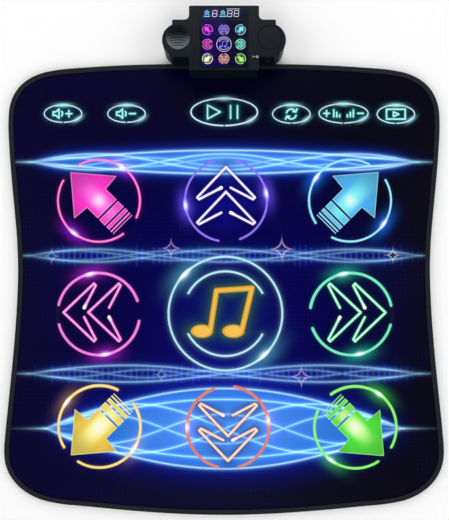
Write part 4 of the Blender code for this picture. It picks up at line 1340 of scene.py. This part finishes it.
def with_icon(colour, here, name):
    """One lit icon of the panel: its ring and its figure."""
    tint = ICONS[name]
    if name == "centre":
        kind, unit, middle = "note", icon_centre_ring, (0, icon_row)
    else:
        kind, direction = PADS[name][:2]
        unit = icon_ring
        column, row = round(cos(radians(direction))), round(sin(radians(direction)))
        middle = (icon_pitch[0] * column, icon_row + icon_pitch[1] * row)
    local = placed(here, middle, unit)
    out = local.length()
    soft = 0.25 / unit
    tube = icon_tube / unit
    if kind == "note":
        colour = mixed(colour, ink(24, 14, 120), step(out, 0.8, 0.6) * 0.8)
        colour = printed(colour, (150, 140, 236), note_line(local, centre_ring_radius), 0.9 * tube, soft)
    else:
        glow = (150, 30, 200) if tint[0] > tint[1] else tint
        colour = lit(colour, ink(*glow), step(out, 1.28, 0.7) * 0.12)
    if kind == "arrow":
        figure = turned(local.vector("MULTIPLY", (1 / icon_arrow, 1 / icon_arrow, 0)), direction)
        colour = mixed(colour, ink(*tint), arrow_area(figure, soft))
    if kind == "chevrons":
        shade = tuple(0.30 * c for c in ink(*tint))
        colour = mixed(colour, shade, step(out, 0.90, 0.80) * 0.75)
        colour = printed(colour, tint, chevrons_line(turned(local, direction)), tube, soft)
    return printed(colour, blend_of(tint, (255, 255, 255), 0.25), ring_lines(local, name), tube, soft)


def lit_display(here):
    """Distance in millimetres to three lit digits, and to the two marks before them and the bar above."""
    x = here.dot((1, 0, 0))
    y = here.dot((0, 1, 0)) - display_row
    strokes = []
    for place in digit_places:
        quarter = pair((x - y * digit_slant - place).size(), y.size())
        for ends in digit_strokes:
            strokes.append(to_stroke(quarter, *ends))
    digits = least(*strokes)
    strokes = []
    for place, wide in mark_places:
        half = pair((x - place).size(), y)
        for ends in (((0, 5.6), (3.8, 2.0)), ((0, 1.2), (3.8, -2.4)), ((0, -5.6), (wide, -5.6))):
            strokes.append(to_stroke(half, *ends))
    bar = to_stroke(pair(x, y), (digit_places[1] - 5.5, 9.0), (digit_places[2] + 6.0, 9.0))
    return digits, least(*strokes), bar


def smoked(name):
    """Smoked acrylic, darker towards its borders: its look, shader, place in millimetres and colour."""
    look, shader, place = new_look(name, 0.20, 0.20)
    here = placed(place, (0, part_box("console_cover")[1].y - console_depth / 2), 0.001)
    across = here.dot((1, 0, 0))
    colour = mixed(ink(28, 4, 90), ink(8, 8, 38), step(across, -42, 22))
    along = here.dot((0, 1, 0)) - panel_middle
    edge = most(across.size() - panel_half[0], along.size() - panel_half[1])
    colour = mixed(colour, ink(12, 17, 26), step(edge, -7.0, 3.0))
    uneven_gloss(shader, grain(place, 0.02, 2.0), 0.14, 0.24)
    return look, shader, here, colour


def lit_from_behind(shader, colour):
    """The colour, which also shines a little by itself."""
    join(colour, shader.inputs["Base Color"])
    join(colour, shader.inputs["Emission Color"])
    shader.inputs["Emission Strength"].default_value = 0.12


def display_look():
    """The display window with its lit digits and marks."""
    look, shader, here, colour = smoked("display_window_print")
    digits, marks, bar = lit_display(here)
    colour = lit(colour, ink(60, 40, 150), fading(least(digits, marks), 1.6) * 0.25)
    colour = printed(colour, (226, 228, 234), digits, 0.47, 0.17)
    colour = printed(colour, (112, 198, 218), marks, 0.95, 0.20)
    lit_from_behind(shader, printed(colour, (196, 198, 206), bar, 0.575, 0.175))
    return look


def icon_look(name):
    """One field of the icon panel with its lit icon."""
    look, shader, here, colour = smoked("icon_print_" + name)
    lit_from_behind(shader, with_icon(colour, here, name))
    return look


def make_icon_panel():
    """The icon panel, whose nine fields each carry one lit icon."""
    low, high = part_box("icon_panel")
    size = high - low
    middle = (low + high) / 2
    bm = bmesh.new()
    bmesh.ops.create_grid(
        bm, x_segments=3, y_segments=3, size=0.5,
        matrix=spread_to((middle.x, middle.y, high.z), (size.x, size.y, 1)))
    thicken(bm, -size.z)
    order = list(ICONS)
    for face in bm.faces:
        spot = face.calc_center_median()
        column = min(2, int((spot.x - low.x) / size.x * 3))
        row = min(2, int((high.y - spot.y) / size.y * 3))
        face.material_index = 3 * row + column
    made = piece("icon_panel_shape", bm, icon_look(order[0]), body_of["icon_panel"], 50)
    for name in order[1:]:
        made.data.materials.append(icon_look(name))
    soften_edges(made, 0.00015)
    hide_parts("icon_panel")


def case_look(name, colour=(7, 15, 24), over=None):
    """Black plastic with a fine spark-eroded grain and slightly worn gloss, and what over paints on it: print, or
    a painted highlight.
    """
    look, shader, place = new_look(name, 0.42, 0.17)
    cloud = grain(place, 0.018, 4.0)
    dark, pale = (tuple(share * c for c in ink(*colour)) for share in (0.86, 1.16))
    ground = mixed(dark, pale, step(cloud, 0.35, 0.65))
    join(over(place, ground) if over else ground, shader.inputs["Base Color"])
    uneven_gloss(shader, cloud, 0.36, 0.48)
    raised(shader, grain(place, 0.0005, 2.0, 0.6), 0.000025)
    return look


def grille_painted_highlight(place, ground):
    """Painted highlight: the grille's plastic is painted paler towards the player, where the dish's lower slope
    would catch the light.
    """
    low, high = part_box("speaker_grille")
    length = high.y - low.y
    # Painted highlight: a pale grey laid over the front part of the grille in place of reflected light
    pale = step(place.dot((0, 1, 0)), low.y + 0.72 * length, low.y + 0.22 * length)
    return mixed(ground, ink(96, 106, 110), pale * 0.85)


def switch_marks(place, ground):
    """Two plain marks for off and on, printed beside the power switch."""
    here = placed(place, switch_mark, 0.001)
    stroke = to_stroke(here, (-4.4, -1.7), (-4.4, 1.7))
    circle = (here.distance((4.2, 0, 0)) - 1.7).size()
    line = least(stroke, circle, to_stroke(here, (-1.6, 0), (0.6, 0)))
    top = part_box("console_cover")[1].z
    on_top = step(place.dot((0, 0, 1)), top - 0.004, top - 0.0008)
    return mixed(ground, ink(222, 226, 230), step(line, 0.50, 0.28) * on_top)


def build_console():
    """The console's shells, panel, window, grille, cap and the parts seen in its openings."""
    plastic = case_look("console_plastic")
    refined("console_cover", case_look("console_case", over=switch_marks), 0.0003)
    refined("console_base", plastic, 0.00015)
    # The grille carries a painted highlight on its front part
    refined("speaker_grille", case_look("grille_plastic", over=grille_painted_highlight), 0.00022)
    refined("blank_cap", plastic, 0.0004)
    refined("battery_door", plastic, 0.0002, marks=[door_marks()])
    make_icon_panel()
    refined("display_window", display_look(), 0.00015)
    refined("power_switch_slider", case_look("slider_plastic", (44, 47, 52)), 0.00015)


def build_mat():
    """The mat's cover, pads, keys, binding and backing."""
    group = backdrop_group()
    make_cover(cover_look(group))
    for name in PAD_NAMES:
        make_pad(name, pad_look(name, group))
    stem = simple_look("key_stem_rubber", (34, 34, 38), 0.6, 0.3)
    for name in KEY_NAMES:
        make_key(name, key_look(name, group), stem)
    make_binding(tape_look(), simple_look("black_thread", (34, 35, 40), 0.6, 0.3, size=0.002))
    backing = simple_look("nonslip_backing", (30, 30, 34), 0.8, 0.2, relief=0.00008, relief_size=0.0006)
    make_backing(backing, simple_look("nonslip_dots", (16, 16, 18), 0.65, 0.3))


# Plain finishes of the inner parts: the material's name and colour, its roughness and specular level, how
# uneven it is and at what size, its relief and the relief's size, and whether it is metal
INNER_FINISHES = {
    "foam_core": ("open_cell_foam", (60, 62, 68), 0.9, 0.1, 0.2, 0.002, 0.0003, 0.0012),
    "contact_film": ("clear_contact_film", (180, 186, 190), 0.3, 0.5, 0.1, 0.02),
    "main_board": ("green_circuit_board", (20, 92, 52), 0.35, 0.5, 0.2, 0.003),
    "light_guide": ("milky_light_guide", (232, 234, 236), 0.3, 0.5, 0.03, 0.01),
    "digit_display": ("display_module", (230, 230, 228), 0.4, 0.5, 0.05, 0.01),
    "ribbon_tail": ("ribbon_film", (176, 120, 40), 0.35, 0.5, 0.1, 0.002),
    "power_switch_body": ("switch_body_plastic", (30, 30, 32), 0.45, 0.5, 0.1, 0.004),
    "speaker_basket": ("speaker_basket_steel", (120, 122, 126), 0.4, 0.5, 0.1, 0.004, 0.0, 0.001, 1.0),
    "speaker_cone": ("paper_cone", (38, 36, 34), 0.85, 0.2, 0.2, 0.001, 0.0001, 0.0008),
}


def dress_rest():
    """The inner parts, screws, cells and feet."""
    steel = simple_look("zinc_plated_steel", (190, 192, 196), 0.32, 0.5, 0.06, 0.004, metallic=1.0)
    for name in nodes:
        if "screw" in name:
            make_screw(name, steel)
        elif name.startswith("battery_contact") or name == "clamp_bar":
            assign(name, steel)
    for name in PAD_NAMES:
        assign("contact_" + name, simple_look("carbon_contact_" + name, (28, 28, 30), 0.7, 0.3, 0.2, 0.004))
    for name, finish in INNER_FINISHES.items():
        assign(name, simple_look(*finish))
    wrap = cell_wrap_look()
    for k in (1, 2, 3):
        make_cell(f"battery_{k}", wrap, steel)
    rubber = simple_look("foot_rubber", (24, 24, 24), 0.8, 0.2, 0.1, 0.004)
    for side in ("left", "right"):
        assign(f"foot_{side}", rubber)


def make_stage():
    """A pale floor, soft light from four sides and the camera straight above."""
    bm = bmesh.new()
    bmesh.ops.create_grid(bm, x_segments=1, y_segments=1, size=30)
    floor = shown("floor", mesh_of("floor", bm))
    look, shader, _ = new_look("pale_floor", 0.9, 0.1)
    shader.inputs["Base Color"].default_value = (0.97, 0.97, 0.97, 1)
    floor.data.materials.append(look)
    world = bpy.data.worlds.new("soft_room")
    world.use_nodes = True
    toward = world.node_tree.nodes.new("ShaderNodeTexCoord")
    height = Field(toward.outputs["Generated"]).dot((0, 0, 1))
    background = world.node_tree.nodes["Background"]
    background.inputs["Color"].default_value = (1, 1, 1, 1)
    join(ramp(height, 0.40, 0.80, 0.95, 0.02), background.inputs["Strength"])
    bpy.context.scene.world = world
    for side, power in LAMPS:
        turn = radians(side)
        light = bpy.data.lights.new(f"softbox_{side}", "AREA")
        light.shape = "SQUARE"
        light.size = 2.0
        light.energy = power
        lamp = shown(light.name, light)
        lamp.location = Vector((lamp_distance * cos(turn), lamp_distance * sin(turn), lamp_height))
        lamp.rotation_euler = (-lamp.location).to_track_quat("-Z", "Y").to_euler()
    camera = bpy.data.cameras.new("above")
    camera.sensor_width = 36.0
    camera.lens = camera_lens
    holder = shown("above", camera)
    holder.location = camera_place
    bpy.context.scene.camera = holder
    bpy.context.scene.view_settings.view_transform = "Standard"


build_mat()
build_console()
dress_rest()
make_stage()
